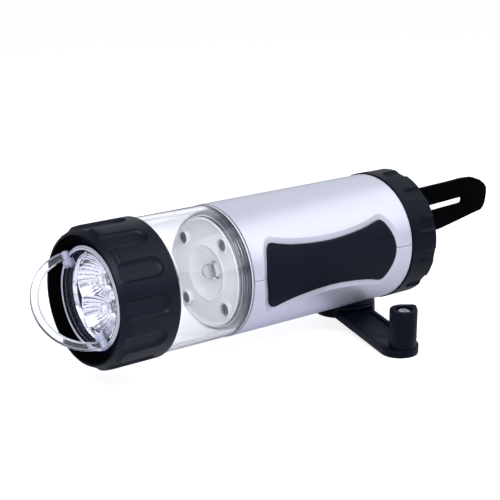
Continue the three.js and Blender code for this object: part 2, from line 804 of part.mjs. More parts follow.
const idlerPin = () => rodZ(frameBottomZ, shaftTopZ, axlePin).translate(idlerX, 0, 0)
const rotorShaft = () => rodZ(frameBottomZ, rotorTopZ + rotorShaftTop, axlePin).translate(rotorX, 0, 0)
const dynamoRotor = () => cut(rodZ(rotorZ, rotorTopZ, rotorRadius, midSides),
  rodZ(-bodyRadius, bodyRadius, shaftRadialFit)).translate(rotorX, 0, 0)

// A ring that stands on the upper plate round the rotor
const uprightRing = (inner, wall) => cut(rodZ(statorZ, rotorTopZ - rotorLift, inner + wall, midSides),
  rodZ(-bodyRadius, bodyRadius, inner, midSides)).translate(rotorX, 0, 0)
const dynamoStator = () => uprightRing(statorInner, statorWall)
const statorCoil = () => uprightRing(coilOuter - coilWall, coilWall)

const axleHoles = (z0, z1) => [
  rodZ(z0, z1, crankShaft + gap).translate(crankX, 0, 0),
  rodZ(z0, z1, shaftRadialFit).translate(idlerX, 0, 0),
  rodZ(z0, z1, shaftRadialFit).translate(rotorX, 0, 0)
]

function gearboxFrame() {
  const half = frameHalfWidth
  const plate = block(frameFrontX, frameRearX, -half, half, frameBottomZ, frameTopZ)
  const pillars = [frameFrontX + pillarInset, frameRearX - pillarInset].flatMap((x) => [-1, 1].map((side) =>
    rodZ(frameTopZ - framePlate / 2, frameUpperZ - gap, pillarRadius).translate(x, side * (half - pillarInset), 0)))
  return cut(join(plate, ...pillars), ...axleHoles(-bodyRadius, 0))
}

const gearboxCover = () => cut(block(frameFrontX, frameRearX, -frameUpperHalfWidth, frameUpperHalfWidth,
  frameUpperZ, frameUpperZ + frameUpperPlate), ...axleHoles(-bodyRadius, 0))

// Battery pack on a tray across the body, with a contact plate at each end
const batteryTray = () => block(frontPlateX, rearPlateX - gap, -trayHalfWidth, trayHalfWidth,
  trayBottomZ, trayTopZ)

function batteryCell(index) {
  const y = (index - (cellCount - 1) / 2) * cellPitch
  return turned([
    [cellFrontX - cellNubHeight, 0], [cellFrontX - cellNubHeight, cellNub], [cellFrontX, cellNub],
    [cellFrontX, cellRadius], [cellRearX - gap, cellRadius], [cellRearX - gap, 0]
  ], midSides).translate(0, y, cellHeightZ)
}

const batteryContact = (x) => block(x, x + contactPlate, -contactPlateHalfWidth, contactPlateHalfWidth,
  trayTopZ + gap, trayTopZ + gap + contactPlateHeight)

const mainBoard = () => rodX(couplingRear + mainBoardOffset, couplingRear + mainBoardOffset
  + mainBoardThickness, shellInner - gap, midSides)

// Tail cap with scoops open to its rear edge and two lugs for the hang loop
function tailCap() {
  const bore = neckOuter + capFit
  const shoulder = neckEnd + capBoreClearance
  const cup = turned([
    [capFront, bore], [capFront, capRadius - capRimChamfer], [capFront + capRimChamfer, capRadius],
    [capRear - capRearChamfer, capRadius], [capRear, capRadius - capRearChamfer], [capRear, 0],
    [capRear - capEnd, 0], [capRear - capEnd, neckInner], [shoulder, neckInner], [shoulder, bore]
  ])
  const scoops = Array.from({ length: scoopCount }, (_, i) =>
    scoopTool(capRadius, capScoopWidth, capScoopDepth, capFront + capScoopFront, capRear + overrun,
      90 + 360 * (i + 0.5) / scoopCount))
  const half = loopWidth / 2
  const lugs = [-1, 1].map((end) => {
    const near = loopCentreZ + end * (half + gap)
    const far = near + end * loopLugThickness
    return block(capRear - capEnd / 2, loopPinX + loopBarrel, -loopLugHalf, loopLugHalf,
      Math.min(near, far), Math.max(near, far))
  })
  const pinHole = rodZ(-capRadius, capRadius, loopPin + gap).translate(loopPinX, 0, 0)
  return cut(join(cut(cup, ...scoops), ...lugs), pinHole)
}

const tailSeal = () => tube(bodyLength + sealGrooveStart + gap, bodyLength + sealGrooveStart + gap + sealWidth,
  neckOuter - sealGrooveDepth + gap, neckOuter + capFit - gap, midSides)

// Hang loop outline: shares of its length from the pin and of its width from its middle line
const loopShares = [
  [0, 0.47], [0.25, 0.485], [0.55, 0.505], [0.72, 0.525], [0.83, 0.51], [0.92, 0.42], [0.975, 0.32],
  [1, 0.22], [0.998, 0.1], [0.985, -0.05], [0.965, -0.17], [0.93, -0.245], [0.83, -0.285], [0.65, -0.37],
  [0.45, -0.46], [0.25, -0.495], [0, -0.5]
]
const loopSlotShares = [[0.14, 0], [0.7, 0.06]]

function hangLoop() {
  const at = ([along, up]) => [loopLength * along, loopCentreZ + loopWidth * up]
  const half = loopThickness / 2
  const plate = prismY(loopShares.map(at).reverse(), -half, half)
  const barrel = rodZ(loopCentreZ - loopWidth / 2, loopCentreZ + loopWidth * loopShares[0][1], loopBarrel)
  const [[x0, z0], [x1, z1]] = loopSlotShares.map(at)
  const lean = Math.atan2(z1 - z0, x1 - x0) * 180 / Math.PI
  const slot = prismY([
    ...arc(x0, z0, loopSlot / 2, lean + 90, lean + 270, loopSlotSteps),
    ...arc(x1, z1, loopSlot / 2, lean - 90, lean + 90, loopSlotSteps)
  ], -loopBarrel, loopBarrel)
  return cut(join(plate, barrel), slot, rodZ(-capRadius, capRadius, loopPin + gap)).translate(loopPinX, 0, 0)
}

const loopPinSolid = () => {
  const half = loopWidth / 2 + gap + loopLugThickness
  return rodZ(loopCentreZ - half, loopCentreZ + half, loopPin).translate(loopPinX, 0, 0)
}

// Outside of the torch
const wall = bodyWallSolid()
place('upper_shell', upperShell(wall), silver)
place('lower_shell', lowerShell(wall), silver)
place('left_grip', gripPad(-1), rubber)
place('right_grip', gripPad(1), rubber)
place('lantern_tube', lanternTube(), clear)
place('head_bezel', headBezel(), black)
place('front_lens', frontLens(), clear)
place('tail_cap', tailCap(), black)
place('hang_loop', hangLoop(), strapBlack)
place('loop_pin', loopPinSolid(), steel)

// Lantern section
place('coupling_ring', couplingRing(), grey)
place('lantern_reflector', lanternReflector(), white)
lanternScrewAngles.forEach((degrees, i) => place(`lantern_screw_${i + 1}`, lanternScrew(degrees), steel))
place('lantern_board', lanternBoard(), board)
place('lantern_led', lanternLed(), emitter)
place('lantern_cone', lanternCone(), chrome)

// Head
place('head_core', headCore(), black)
place('torch_reflector', torchReflector(), chrome)
cupAngles.forEach((degrees, i) => place(`torch_led_${i + 1}`, torchLed(degrees), emitter))
place('torch_led_board', torchLedBoard(), board)
place('lens_seal', lensSeal(), rubber)
place('twist_contact', twistContact(), brass)

// Bail, tilted from straight ahead about its pivot line
const bailMesh = place('hanging_bail', bail(), clear, bailGroup)
bailMesh.rotation.z = THREE.MathUtils.degToRad(-bailTilt)
place('bail_pin_upper', bailPinSolid(1), steel, bailGroup)
place('bail_pin_lower', bailPinSolid(-1), steel, bailGroup)

// Crank, with the parts that turn with it in the turned group
place('crank_bush', crankBush().translate(crankX, 0, 0), black)
place('crank_hub', crankHub(), black, crankGroup)
place('arm_hinge_pin', hingePinSolid(), steel, crankGroup)
place('crank_arm', crankArm(), black, armGroup)
place('crank_knob', crankKnob(), black, armGroup).position.x = knobReach
place('knob_screw', knobScrew(), steel, armGroup).position.x = knobReach
place('crank_shaft', crankShaftSolid(), steel)

// Gear train and dynamo
place('gearbox_frame', gearboxFrame(), grey)
place('gearbox_cover', gearboxCover(), grey)
place('crank_gear', crankGear(), nylon)
place('idler_gear', idlerGear(), nylon)
place('idler_pin', idlerPin(), steel)
place('rotor_pinion', rotorPinion(), brass)
place('rotor_shaft', rotorShaft(), steel)
place('dynamo_rotor', dynamoRotor(), steel)
place('dynamo_stator', dynamoStator(), steel)
place('stator_coil', statorCoil(), copper)

// Battery pack, main board and tail seal
place('battery_tray', batteryTray(), black)
for (let i = 0; i < cellCount; i++) place(`battery_cell_${i + 1}`, batteryCell(i), cellSkin)
place('battery_contact_front', batteryContact(frontPlateX), brass)
place('battery_contact_rear', batteryContact(rearPlateX), brass)
place('main_board', mainBoard(), board)
place('tail_seal', tailSeal(), rubber)

// The origin is under the middle of the whole part, level with the crank's underside
torch.updateMatrixWorld(true)
const bounds = new THREE.Box3().setFromObject(torch, true)
const middle = bounds.getCenter(new THREE.Vector3())
torch.position.set(-middle.x, -middle.y, -bounds.min.z)

export default torch
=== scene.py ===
# Hand crank torch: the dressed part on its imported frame, with floor, light and the photograph's camera.
# Shapes are worked out in millimetres in the torch's own frame, as in the part's source: X along the torch
# with the tail towards +X and 0 at the silver body's front edge, +Z up, the axis at y = z = 0.
import json
import math

import bmesh
import bpy
from mathutils import Matrix, Vector


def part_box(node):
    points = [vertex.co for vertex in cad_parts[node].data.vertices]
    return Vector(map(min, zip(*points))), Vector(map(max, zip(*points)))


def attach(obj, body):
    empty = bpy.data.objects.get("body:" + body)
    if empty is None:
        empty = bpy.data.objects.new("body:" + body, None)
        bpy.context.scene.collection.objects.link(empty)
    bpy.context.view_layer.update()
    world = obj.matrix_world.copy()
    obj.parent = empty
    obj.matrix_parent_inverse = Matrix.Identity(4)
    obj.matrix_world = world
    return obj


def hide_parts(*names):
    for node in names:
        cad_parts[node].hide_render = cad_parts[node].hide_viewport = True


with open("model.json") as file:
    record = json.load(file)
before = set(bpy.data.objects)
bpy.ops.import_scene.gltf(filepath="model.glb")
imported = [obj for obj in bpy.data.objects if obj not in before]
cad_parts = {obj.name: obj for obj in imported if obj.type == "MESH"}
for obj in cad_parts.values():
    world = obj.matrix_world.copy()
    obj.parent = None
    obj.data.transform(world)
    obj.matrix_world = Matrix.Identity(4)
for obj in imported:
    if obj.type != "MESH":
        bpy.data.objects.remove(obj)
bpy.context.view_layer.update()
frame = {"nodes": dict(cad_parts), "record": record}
MM = 0.001
TINY = 1e-6

# Where the torch's own frame lies in the row frame
shell_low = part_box("upper_shell")[0]
ring_low, ring_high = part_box("head_bezel")
ORIGIN = Vector((shell_low.x, (ring_low.y + ring_high.y) / 2, (ring_low.z + ring_high.z) / 2))
TORCH = Matrix.Translation(ORIGIN) @ Matrix.Scale(MM, 4)

# Named sizes in millimetres, most of them as in the part's source
BODY_LENGTH, BODY_R, SHELL_WALL = 83.4, 26.3, 1.5
GRIP_FRONT, GRIP_LENGTH, GRIP_HALF = 6.5, 68.5, 12.8
GRIP_BORDER, GRIP_SLOPE, GRIP_POCKET = 2.0, 0.8, 1.6
GRIP_PROUD, GRIP_THICK, GRIP_CLEARANCE = 0.2, 1.5, 0.15
SEAM, NECK_BORE, GAP = 0.12, 22.2, 0.3
LANTERN_R, LANTERN_INNER = 26.0, 24.0
NECK_OUTER, NECK_INNER = 24.6, 22.5
COUPLING_FRONT, COUPLING_R, COUPLING_WALL, COUPLING_WEB = -3.2, 23.7, 1.9, 3.4
COUPLING_STEPS, COUPLING_PITCH, COUPLING_RISE, GROOVE_SHADE_WIDTH = 3, 0.95, 0.45, 0.3
DISH_FRONT, SCREW_CIRCLE, SCREW_TURN, SCREW_COUNT = -4.6, 17.4, 45, 4
SCREW_HOLE, SLOT_THIN, BOSS_R, BOSS_HEIGHT = 2.6, 0.3, 3.1, 0.5
HEAD_R, HEAD_FRONT, HEAD_REAR = 27.0, -59.3, -34.6
HEAD_LIP, HEAD_MOUTH, HEAD_INNER = 24.9, 20.9, 24.9
LENS_FACE, LENS_R, LENS_WALL, LENS_THICK = -56.6, 19.6, 1.3, 1.6
# On the lens face, measured in from its outer edge: painted shade between LENS_EDGE and LENS_RIM, painted
# light outside LENS_RIM, and within that a thin painted highlight line.
LENS_FLANGE, LENS_EDGE, LENS_RIM, HIGHLIGHT_LINE = (-55.3, -54.0), 1.9, 1.55, (0.9, 0.65)
REFLECTOR_FRONT, REFLECTOR_R, REFLECTOR_DEPTH = -51.4, 18.0, 8.4
CUP_CIRCLE, CUP_R, CUP_TURN, CUP_COUNT, CUP_HOLE = 6.2, 10.8, 11.0, 3, 2.42
CUP_FLUTES, FLUTE_DEPTH = 30, 0.25
BAIL_X, BAIL_LEAN, BAIL_TILT = -58.5, 37.5, 12.0
BAIL_R, BAIL_WIDTH, BAIL_THICK, BAIL_BARREL, PIN_BORE = 19.8, 3.0, 2.0, 1.6, 1.0
CAP_FRONT, CAP_LENGTH, CAP_R, CAP_BORE = 83.7, 14.8, 26.8, 24.9
LOOP_X, LOOP_Z, LOOP_WIDTH, LOOP_LENGTH = 101.9, 5.6, 21.0, 55.7
LOOP_THICK, LOOP_SLOT, LOOP_BARREL, LOOP_BORE = 2.6, 2.8, 2.3, 1.3
CRANK_X, CRANK_ANGLE, SEAT_Z = 69.5, 73.0, -24.4
HUB_R, HUB_TOP, HUB_BASE, HUB_BOTTOM, SHAFT_BORE = 12.5, -25.7, -26.7, -30.3, 2.8
HINGE_Z, HINGE_BORE = -28.65, 1.1
ARM_DROOP, ARM_REACH, ARM_HALF, ARM_WIDTH = 6.0, 48.1, 1.65, 15.3
KNOB_X, KNOB_R, KNOB_BASE, KNOB_HEIGHT = 50.8, 5.45, 1.95, 15.1
KNOB_RIDGE, KNOB_RIDGE_WIDTH, KNOB_RIDGE_TURN = 6.85, 1.6, -67
KNOB_BORE, KNOB_MOUTH, KNOB_MOUTH_DEPTH = 2.7, 3.5, 3.2
POST_R, POST_TOP, POST_BORE, POST_BORE_FROM = 2.4, 13.8, 1.3, 5.5
CRISP, FINE, SOFT, ROUNDED = 0.15, 0.2, 0.3, 0.4  # fillets
FAR = 40  # where a cut through a piece starts or ends
WELD = 0.0005  # points nearer than this become one

# Sides and steps of shapes
CLEAR_SIDES, ROUND, HUB_SIDES, MEDIUM, SMALL = 192, 144, 96, 64, 32
QUARTER_ROWS, NECK_STEPS, BAIL_STEPS = 30, 60, 160
CUP_SIDES, CUP_RINGS = 360, 100


def shift(x, y=0, z=0):
    return Matrix.Translation((x, y, z))


def spin(angle, axis):
    return Matrix.Rotation(math.radians(angle), 4, axis)


# Frames of the crank's pieces, the bail and the loop
BUSH = TORCH @ shift(CRANK_X)
CRANK = BUSH @ spin(CRANK_ANGLE - 180, "Z")
ARM = CRANK @ shift(0, 0, HINGE_Z) @ spin(ARM_DROOP, "Y")
KNOB = ARM @ shift(KNOB_X)
BAIL = TORCH @ shift(BAIL_X) @ spin(-BAIL_LEAN, "X") @ spin(-BAIL_TILT, "Z")
LOOP = TORCH @ shift(LOOP_X)


def placed(name, data):
    obj = bpy.data.objects.new(name, data)
    bpy.context.collection.objects.link(obj)
    return obj


# Camera, worked out from the photograph's round edges
def photo_camera():
    azimuth, elevation, roll = (math.radians(angle) for angle in (-38.637, 12.871, -2.318))
    distance, target, lens, sensor = 544.75, Vector((19.2, 0, 4.9)), 99.04, 36
    back = Vector((math.sin(azimuth) * math.cos(elevation), -math.cos(azimuth) * math.cos(elevation),
                   math.sin(elevation)))
    right = (-back).cross(Vector((0, 0, 1))).normalized()
    up = back.cross(right)
    right, up = (right * math.cos(roll) + up * math.sin(roll), up * math.cos(roll) - right * math.sin(roll))
    data = bpy.data.cameras.new("camera")
    data.sensor_width, data.lens = sensor, lens
    data.clip_start, data.clip_end = 0.01, 20
    camera = placed("camera", data)
    camera.matrix_world = Matrix.Translation(TORCH @ (target + back * distance)) @ Matrix(
        (right, up, back)).transposed().to_4x4()
    bpy.context.scene.camera = camera


# Materials. All drift in tone and vary in gloss, and most have a fine relief.
TONE_SHARES = 0.3, 0.7  # the noise at which a tone is at its darkest and lightest
DRIFT, PATCH = 60, 12  # patches of tone and of gloss, in grains
RELIEF = 0.1  # millimetres


def plain(name):
    material = bpy.data.materials.new(name)
    material.use_nodes = True
    nodes = material.node_tree.nodes
    return material, nodes, material.node_tree.links, nodes["Principled BSDF"]


def surface(name, colour, roughness, tone, wear=0.05, grain=3000, bump=0.02, **sockets):
    """A material whose grain is in grains per metre. tone and wear are how far colour and gloss vary."""
    material, nodes, links, shader = plain(name)
    coords = nodes.new("ShaderNodeTexCoord")

    def noise(scale, detail):
        node = nodes.new("ShaderNodeTexNoise")
        node.inputs["Scale"].default_value = scale
        node.inputs["Detail"].default_value = detail
        links.new(coords.outputs["Object"], node.inputs["Vector"])
        return node.outputs["Fac"]

    ramp = nodes.new("ShaderNodeValToRGB")
    low, high = ramp.color_ramp.elements
    low.position, high.position = TONE_SHARES
    low.color = [c * (1 - tone) for c in colour] + [1]
    high.color = [min(1, c * (1 + tone)) for c in colour] + [1]
    links.new(noise(grain / DRIFT, 3), ramp.inputs["Fac"])
    links.new(ramp.outputs["Color"], shader.inputs["Base Color"])
    gloss = nodes.new("ShaderNodeMapRange")
    gloss.inputs["To Min"].default_value = max(0, roughness - wear)
    gloss.inputs["To Max"].default_value = roughness + wear
    links.new(noise(grain / PATCH, 4), gloss.inputs["Value"])
    links.new(gloss.outputs["Result"], shader.inputs["Roughness"])
    if bump:
        relief = nodes.new("ShaderNodeBump")
        relief.inputs["Strength"].default_value = bump
        relief.inputs["Distance"].default_value = RELIEF * MM
        links.new(noise(grain, 2), relief.inputs["Height"])
        links.new(relief.outputs["Normal"], shader.inputs["Normal"])
    for socket, value in sockets.items():
        shader.inputs[socket.replace("_", " ")].default_value = value
    return material


SILVER = surface("silver paint", (0.81, 0.83, 0.955), 0.42, tone=0.015, wear=0.03, grain=9000, bump=0.04,
                 Metallic=0.6, Coat_Weight=0.15, Coat_Roughness=0.15)
BLACK = surface("black moulded plastic", (0.005, 0.0075, 0.015), 0.36, tone=0.12, grain=7000, bump=0.10,
                Specular_IOR_Level=0.24, Specular_Tint=(0.78, 0.85, 1.0, 1.0))
RUBBER = surface("dark grip rubber", (0.004, 0.007, 0.015), 0.5, tone=0.12, grain=5200, bump=0.22,
                 Specular_IOR_Level=0.14, Specular_Tint=(0.75, 0.85, 1.0, 1.0))
STRAP = surface("black strap plastic", (0.0008, 0.0009, 0.0016), 0.55, tone=0.12, grain=5000, bump=0.12,
                Specular_IOR_Level=0.015)
# A near-black, nearly glossless copy of the black plastic: painted shade for the head ring's inner cone.
CONE_SHADE = surface("matt black paint", (0.0005, 0.0005, 0.0009), 0.6, tone=0.1, grain=5000, bump=0.1,
               Specular_IOR_Level=0.015)
# Milky white for edges of clear pieces: painted highlights.
EDGE_LIGHT = surface("highlit clear plastic", (0.88, 0.90, 1.0), 0.3, tone=0.02, bump=0.03,
                Transmission_Weight=0.1, IOR=1.47)
# Dark blue for the clear lens's wall, flange and a ring on its face, and for the sleeve behind it: painted
# shade.
LENS_SHADE = surface("dark lens wall", (0.0012, 0.004, 0.024), 0.7, tone=0.1, grain=5000, bump=0.06,
               Specular_IOR_Level=0.02, Specular_Tint=(0.6, 0.75, 1.0, 1.0))
# Grey-white for lines on clear edges: painted highlights.
EDGE_LINE_LIGHT = surface("bail edge", (0.46, 0.47, 0.57), 0.25, tone=0.03, Transmission_Weight=0.1)
# Darker plating for the flutes' valleys: painted shade lines in the creases.
FLUTE_SHADE = surface("plating between flutes", (0.40, 0.41, 0.50), 0.25, tone=0.05, grain=1500, Metallic=1.0)
# A darker, less glossy copy of the black plastic: painted shade for the tail cap and the crank.
SHADED_BLACK = surface("black crank plastic", (0.002, 0.004, 0.010), 0.38, tone=0.12, grain=7000, bump=0.10,
              Specular_IOR_Level=0.13, Specular_Tint=(0.78, 0.85, 1.0, 1.0))
CLEAR = surface("clear plastic", (0.995, 0.996, 1.0), 0.02, tone=0.004, wear=0.012, grain=300, bump=0,
                Transmission_Weight=1.0, IOR=1.47)
GLASS = surface("clear lens plastic", (0.97, 0.975, 0.99), 0.01, tone=0.004, wear=0.01, grain=300, bump=0,
                Transmission_Weight=1.0, IOR=1.12)
BAND = surface("clear bail plastic", (0.93, 0.94, 1.0), 0.16, tone=0.01, wear=0.03, grain=600, bump=0,
               Transmission_Weight=0.96, IOR=1.12)
LUG = surface("clear lug plastic", (0.85, 0.87, 1.0), 0.2, tone=0.02, Transmission_Weight=0.7, IOR=1.15)
CHROME = surface("mirror plating", (0.93, 0.935, 0.98), 0.08, tone=0.02, wear=0.03, grain=1500, Metallic=1.0)
WHITE = surface("white plastic", (0.98, 0.985, 1.0), 0.2, tone=0.02, grain=4000, bump=0.04)
GREY = surface("grey coupling plastic", (0.10, 0.105, 0.15), 0.06, tone=0.05, wear=0.02, grain=4000,
               Specular_IOR_Level=1.0, IOR=1.8)
# Painted shade for the coupling ring's grooves, and painted dark reflections in marks round it.
SHADE = surface("dark coupling slots", (0.03, 0.034, 0.06), 0.3, tone=0.1, grain=4000, bump=0.03)
NYLON = surface("natural nylon", (0.72, 0.70, 0.62), 0.45, tone=0.04, grain=4000, bump=0.08)
STEEL = surface("steel", (0.62, 0.63, 0.66), 0.28, tone=0.04, wear=0.08, grain=6000, bump=0.05, Metallic=1.0)
DARK_STEEL = surface("dark screw steel", (0.10, 0.10, 0.14), 0.35, tone=0.1, wear=0.08, grain=6000, bump=0.1,
                     Metallic=0.8)
BRASS = surface("brass", (0.80, 0.60, 0.30), 0.3, tone=0.05, wear=0.08, grain=5000, bump=0.05, Metallic=1.0)
COPPER = surface("copper winding", (0.70, 0.32, 0.16), 0.35, tone=0.12, wear=0.08, bump=0.3, Metallic=1.0)
BOARD = surface("circuit board", (0.03, 0.16, 0.09), 0.45, tone=0.15, grain=2500, bump=0.1)
SEAL = surface("seal rubber", (0.012, 0.012, 0.014), 0.6, tone=0.1, bump=0.15)
EMITTER = surface("diode resin", (0.97, 0.975, 1.0), 0.12, tone=0.01, wear=0.02, grain=900, bump=0,
                  Transmission_Weight=0.75, IOR=1.15)
DOME = surface("clear diode resin", (0.95, 0.955, 0.98), 0.03, tone=0.01, wear=0.02, grain=900, bump=0,
               Transmission_Weight=0.95, IOR=1.16)
JACKET = surface("cell jacket", (0.10, 0.28, 0.17), 0.35, tone=0.1, grain=2000, bump=0.05)
BY_SLOT = {
    "silver_plastic": SILVER, "black_plastic": BLACK, "loop_plastic": STRAP, "grip_rubber": RUBBER,
    "seal_rubber": SEAL, "clear_plastic": CLEAR, "mirror_plating": CHROME, "white_plastic": WHITE,
    "grey_plastic": GREY, "nylon": NYLON, "circuit_board": BOARD, "led_resin": EMITTER,
    "cell_jacket": JACKET, "steel": STEEL, "brass": BRASS, "copper_wire": COPPER,
}


# Shapes: lists of points and faces, in millimetres
def spread(points, reach=0.45, steps=4):
    """A closed profile of (x, radius[, fillet]) with its filleted corners rounded."""
    out = []
    for i, (x, r, *fillet) in enumerate(points):
        here = Vector((x, r))
        if not fillet:
            out.append((x, r))
            continue
        before, after = Vector(points[i - 1][:2]), Vector(points[(i + 1) % len(points)][:2])
        a = here + (before - here).normalized() * min(fillet[0], reach * (before - here).length)
        b = here + (after - here).normalized() * min(fillet[0], reach * (after - here).length)
        for k in range(steps + 1):
            t = k / steps
            out.append(tuple(a * (1 - t) ** 2 + here * 2 * t * (1 - t) + b * t ** 2))
    return out


def skin(rows, closed):
    """Faces between rows of points of equal count, each row a ring; a row of one point is a pole."""
    points, index = [], []
    for row in rows:
        index.append(range(len(points), len(points) + len(row)))
        points.extend(row)
    faces = []
    for a, b in zip(index, index[1:] + (index[:1] if closed else [])):
        count = max(len(a), len(b))
        for k in range(count if count > 1 else 0):
            nxt = (k + 1) % count
            if len(a) == 1:
                faces.append((a[0], b[k], b[nxt]))
            elif len(b) == 1:
                faces.append((a[k], b[0], a[nxt]))
            else:
                faces.append((a[k], b[k], b[nxt], a[nxt]))
    return points, faces


def turned(profile, sides=ROUND):
    """A closed profile turned round the X axis."""
    turns = [2 * math.pi * k / sides for k in range(sides)]
    rows = [[(x, 0, 0)] if r < TINY else [(x, r * math.sin(a), r * math.cos(a)) for a in turns]
            for x, r in spread(profile)]
    return skin(rows, closed=not (len(rows[0]) == 1 and len(rows[-1]) == 1))


def upright(profile, sides=MEDIUM):
    """A closed profile of (z, radius) turned round the Z axis."""
    points, faces = turned(profile, sides)
    return [(y, z, x) for x, y, z in points], faces


def rod(low, high, r, *fillet, sides=SMALL):
    """A rod along the X axis."""
    return turned([(low, 0), (low, r, *fillet), (high, r, *fillet), (high, 0)], sides)


def post(low, high, r, *fillet, sides=SMALL):
    """A rod along the Z axis."""
    return upright([(low, 0), (low, r, *fillet), (high, r, *fillet), (high, 0)], sides)


def moved(shape, x=0, y=0, z=0):
    points, faces = shape
    return [(px + x, py + y, pz + z) for px, py, pz in points], faces


def leaned(shape, matrix):
    points, faces = shape
    return [tuple(matrix @ Vector(p)) for p in points], faces


def tipped(shape):
    """Y and Z changed over: what stood along Z lies along Y, and an outline in (x, y) lies in (x, z)."""
    points, faces = shape
    return [(x, z, y) for x, y, z in points], faces


def swept(rows):
    """A bar through outlines of equal count, closed at both ends."""
    points, faces = skin(rows, closed=False)
    count, last = len(rows[0]), len(points) - len(rows[0])
    return points, [*faces, tuple(range(count)), tuple(range(last + count - 1, last - 1, -1))]


def merged(*shapes):
    points, faces = [], []
    for more_points, more_faces in shapes:
        faces += [tuple(i + len(points) for i in face) for face in more_faces]
        points += more_points
    return points, faces


def block(x0, x1, y0, y1, z0, z1):
    points = [(x, y, z) for x in (x0, x1) for y in (y0, y1) for z in (z0, z1)]
    return points, [(0, 1, 3, 2), (4, 6, 7, 5), (0, 4, 5, 1), (2, 3, 7, 6), (0, 2, 6, 4), (1, 5, 7, 3)]


def prism(outline, low, high):
    """An outline of (x, y) raised from one height to another."""
    count = len(outline)
    points = [(x, y, h) for h in (low, high) for x, y in outline]
    sides = [(k, (k + 1) % count, count + (k + 1) % count, count + k) for k in range(count)]
    return points, [tuple(reversed(range(count))), tuple(range(count, 2 * count)), *sides]


def arc(cx, cy, radius, start, end, steps):
    """Points of a round arc, angles in degrees."""
    turn = [math.radians(start + (end - start) * i / steps) for i in range(steps + 1)]
    return [(cx + radius * math.cos(a), cy + radius * math.sin(a)) for a in turn]


# Objects
def solid(name, shape):
    """An object, not yet in the row frame, from one shape."""
    mesh = bpy.data.meshes.new(name)
    mesh.from_pydata(shape[0], [], shape[1])
    work = bmesh.new()
    work.from_mesh(mesh)
    bmesh.ops.remove_doubles(work, verts=work.verts, dist=WELD)
    bmesh.ops.recalc_face_normals(work, faces=work.faces)
    work.to_mesh(mesh)
    work.free()
    return placed(name, mesh)


def apply(obj):
    graph = bpy.context.evaluated_depsgraph_get()
    mesh = bpy.data.meshes.new_from_object(obj.evaluated_get(graph))
    obj.modifiers.clear()
    old, obj.data = obj.data, mesh
    bpy.data.meshes.remove(old)


def combine(obj, operation, *shapes):
    """Cuts or joins shapes into an object, one after the other."""
    for shape in shapes:
        tool = solid("tool", shape)
        step = obj.modifiers.new("step", "BOOLEAN")
        step.operation, step.solver, step.object = operation, "EXACT", tool
        apply(obj)
        mesh = tool.data
        bpy.data.objects.remove(tool)
        bpy.data.meshes.remove(mesh)


def bevel(obj, width, angle, segments=2):
    step = obj.modifiers.new("edge", "BEVEL")
    step.width, step.segments, step.limit_method = width, segments, "ANGLE"
    step.angle_limit, step.harden_normals = math.radians(angle), False
    apply(obj)


def seat(obj, matrix, material, body, slot, *nodes, sharp=32):
    """Sets an object in the row frame, gives it its material and shading, hangs it under its body and hides
    the CAD nodes that it stands for.
    """
    obj.data.transform(matrix)
    obj.data.materials.clear()
    obj.data.materials.append(material)
    obj.data.shade_smooth()
    obj.data.set_sharp_from_angle(angle=math.radians(sharp))
    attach(obj, body)
    if nodes:
        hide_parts(*nodes)


def repaint(obj, material, inside, matrix=TORCH):
    """Gives one more material to the faces whose middle, in the given frame, passes."""
    obj.data.materials.append(material)
    back = matrix.inverted()
    for face in obj.data.polygons:
        if inside(back @ face.center):
            face.material_index = len(obj.data.materials) - 1


def off_axis(p):
    return math.hypot(p.y, p.z)


def ring_places(radius, first, count):
    """(y, z) of places even on a circle round the torch axis, the first at an angle in degrees."""
    turns = [math.radians(first + 360 / count * k) for k in range(count)]
    return [(-radius * math.cos(a), radius * math.sin(a)) for a in turns]


# Black head ring and tail cap: a turned wall with scoops, whose edges lie on the mesh's own lines
SCOOPS, RIB_CELLS, WALL_POWER, SCOOP_LEAD = 12, 8, 6, 0.3
SCOOP_SHARES = (-1, -0.97, -0.93, -0.88, -0.82, -0.74, -0.6, -0.3, 0, 0.3, 0.6, 0.74, 0.82, 0.88, 0.93, 0.97)
LEAD_SHARES = 0.4, 0.8
END_SHARES = (0, 0.02, 0.05, 0.1, 0.16, 0.25, 0.4, 0.6, 0.8, 1)
COARSE_ROWS, FINE_ROWS = 10, 26


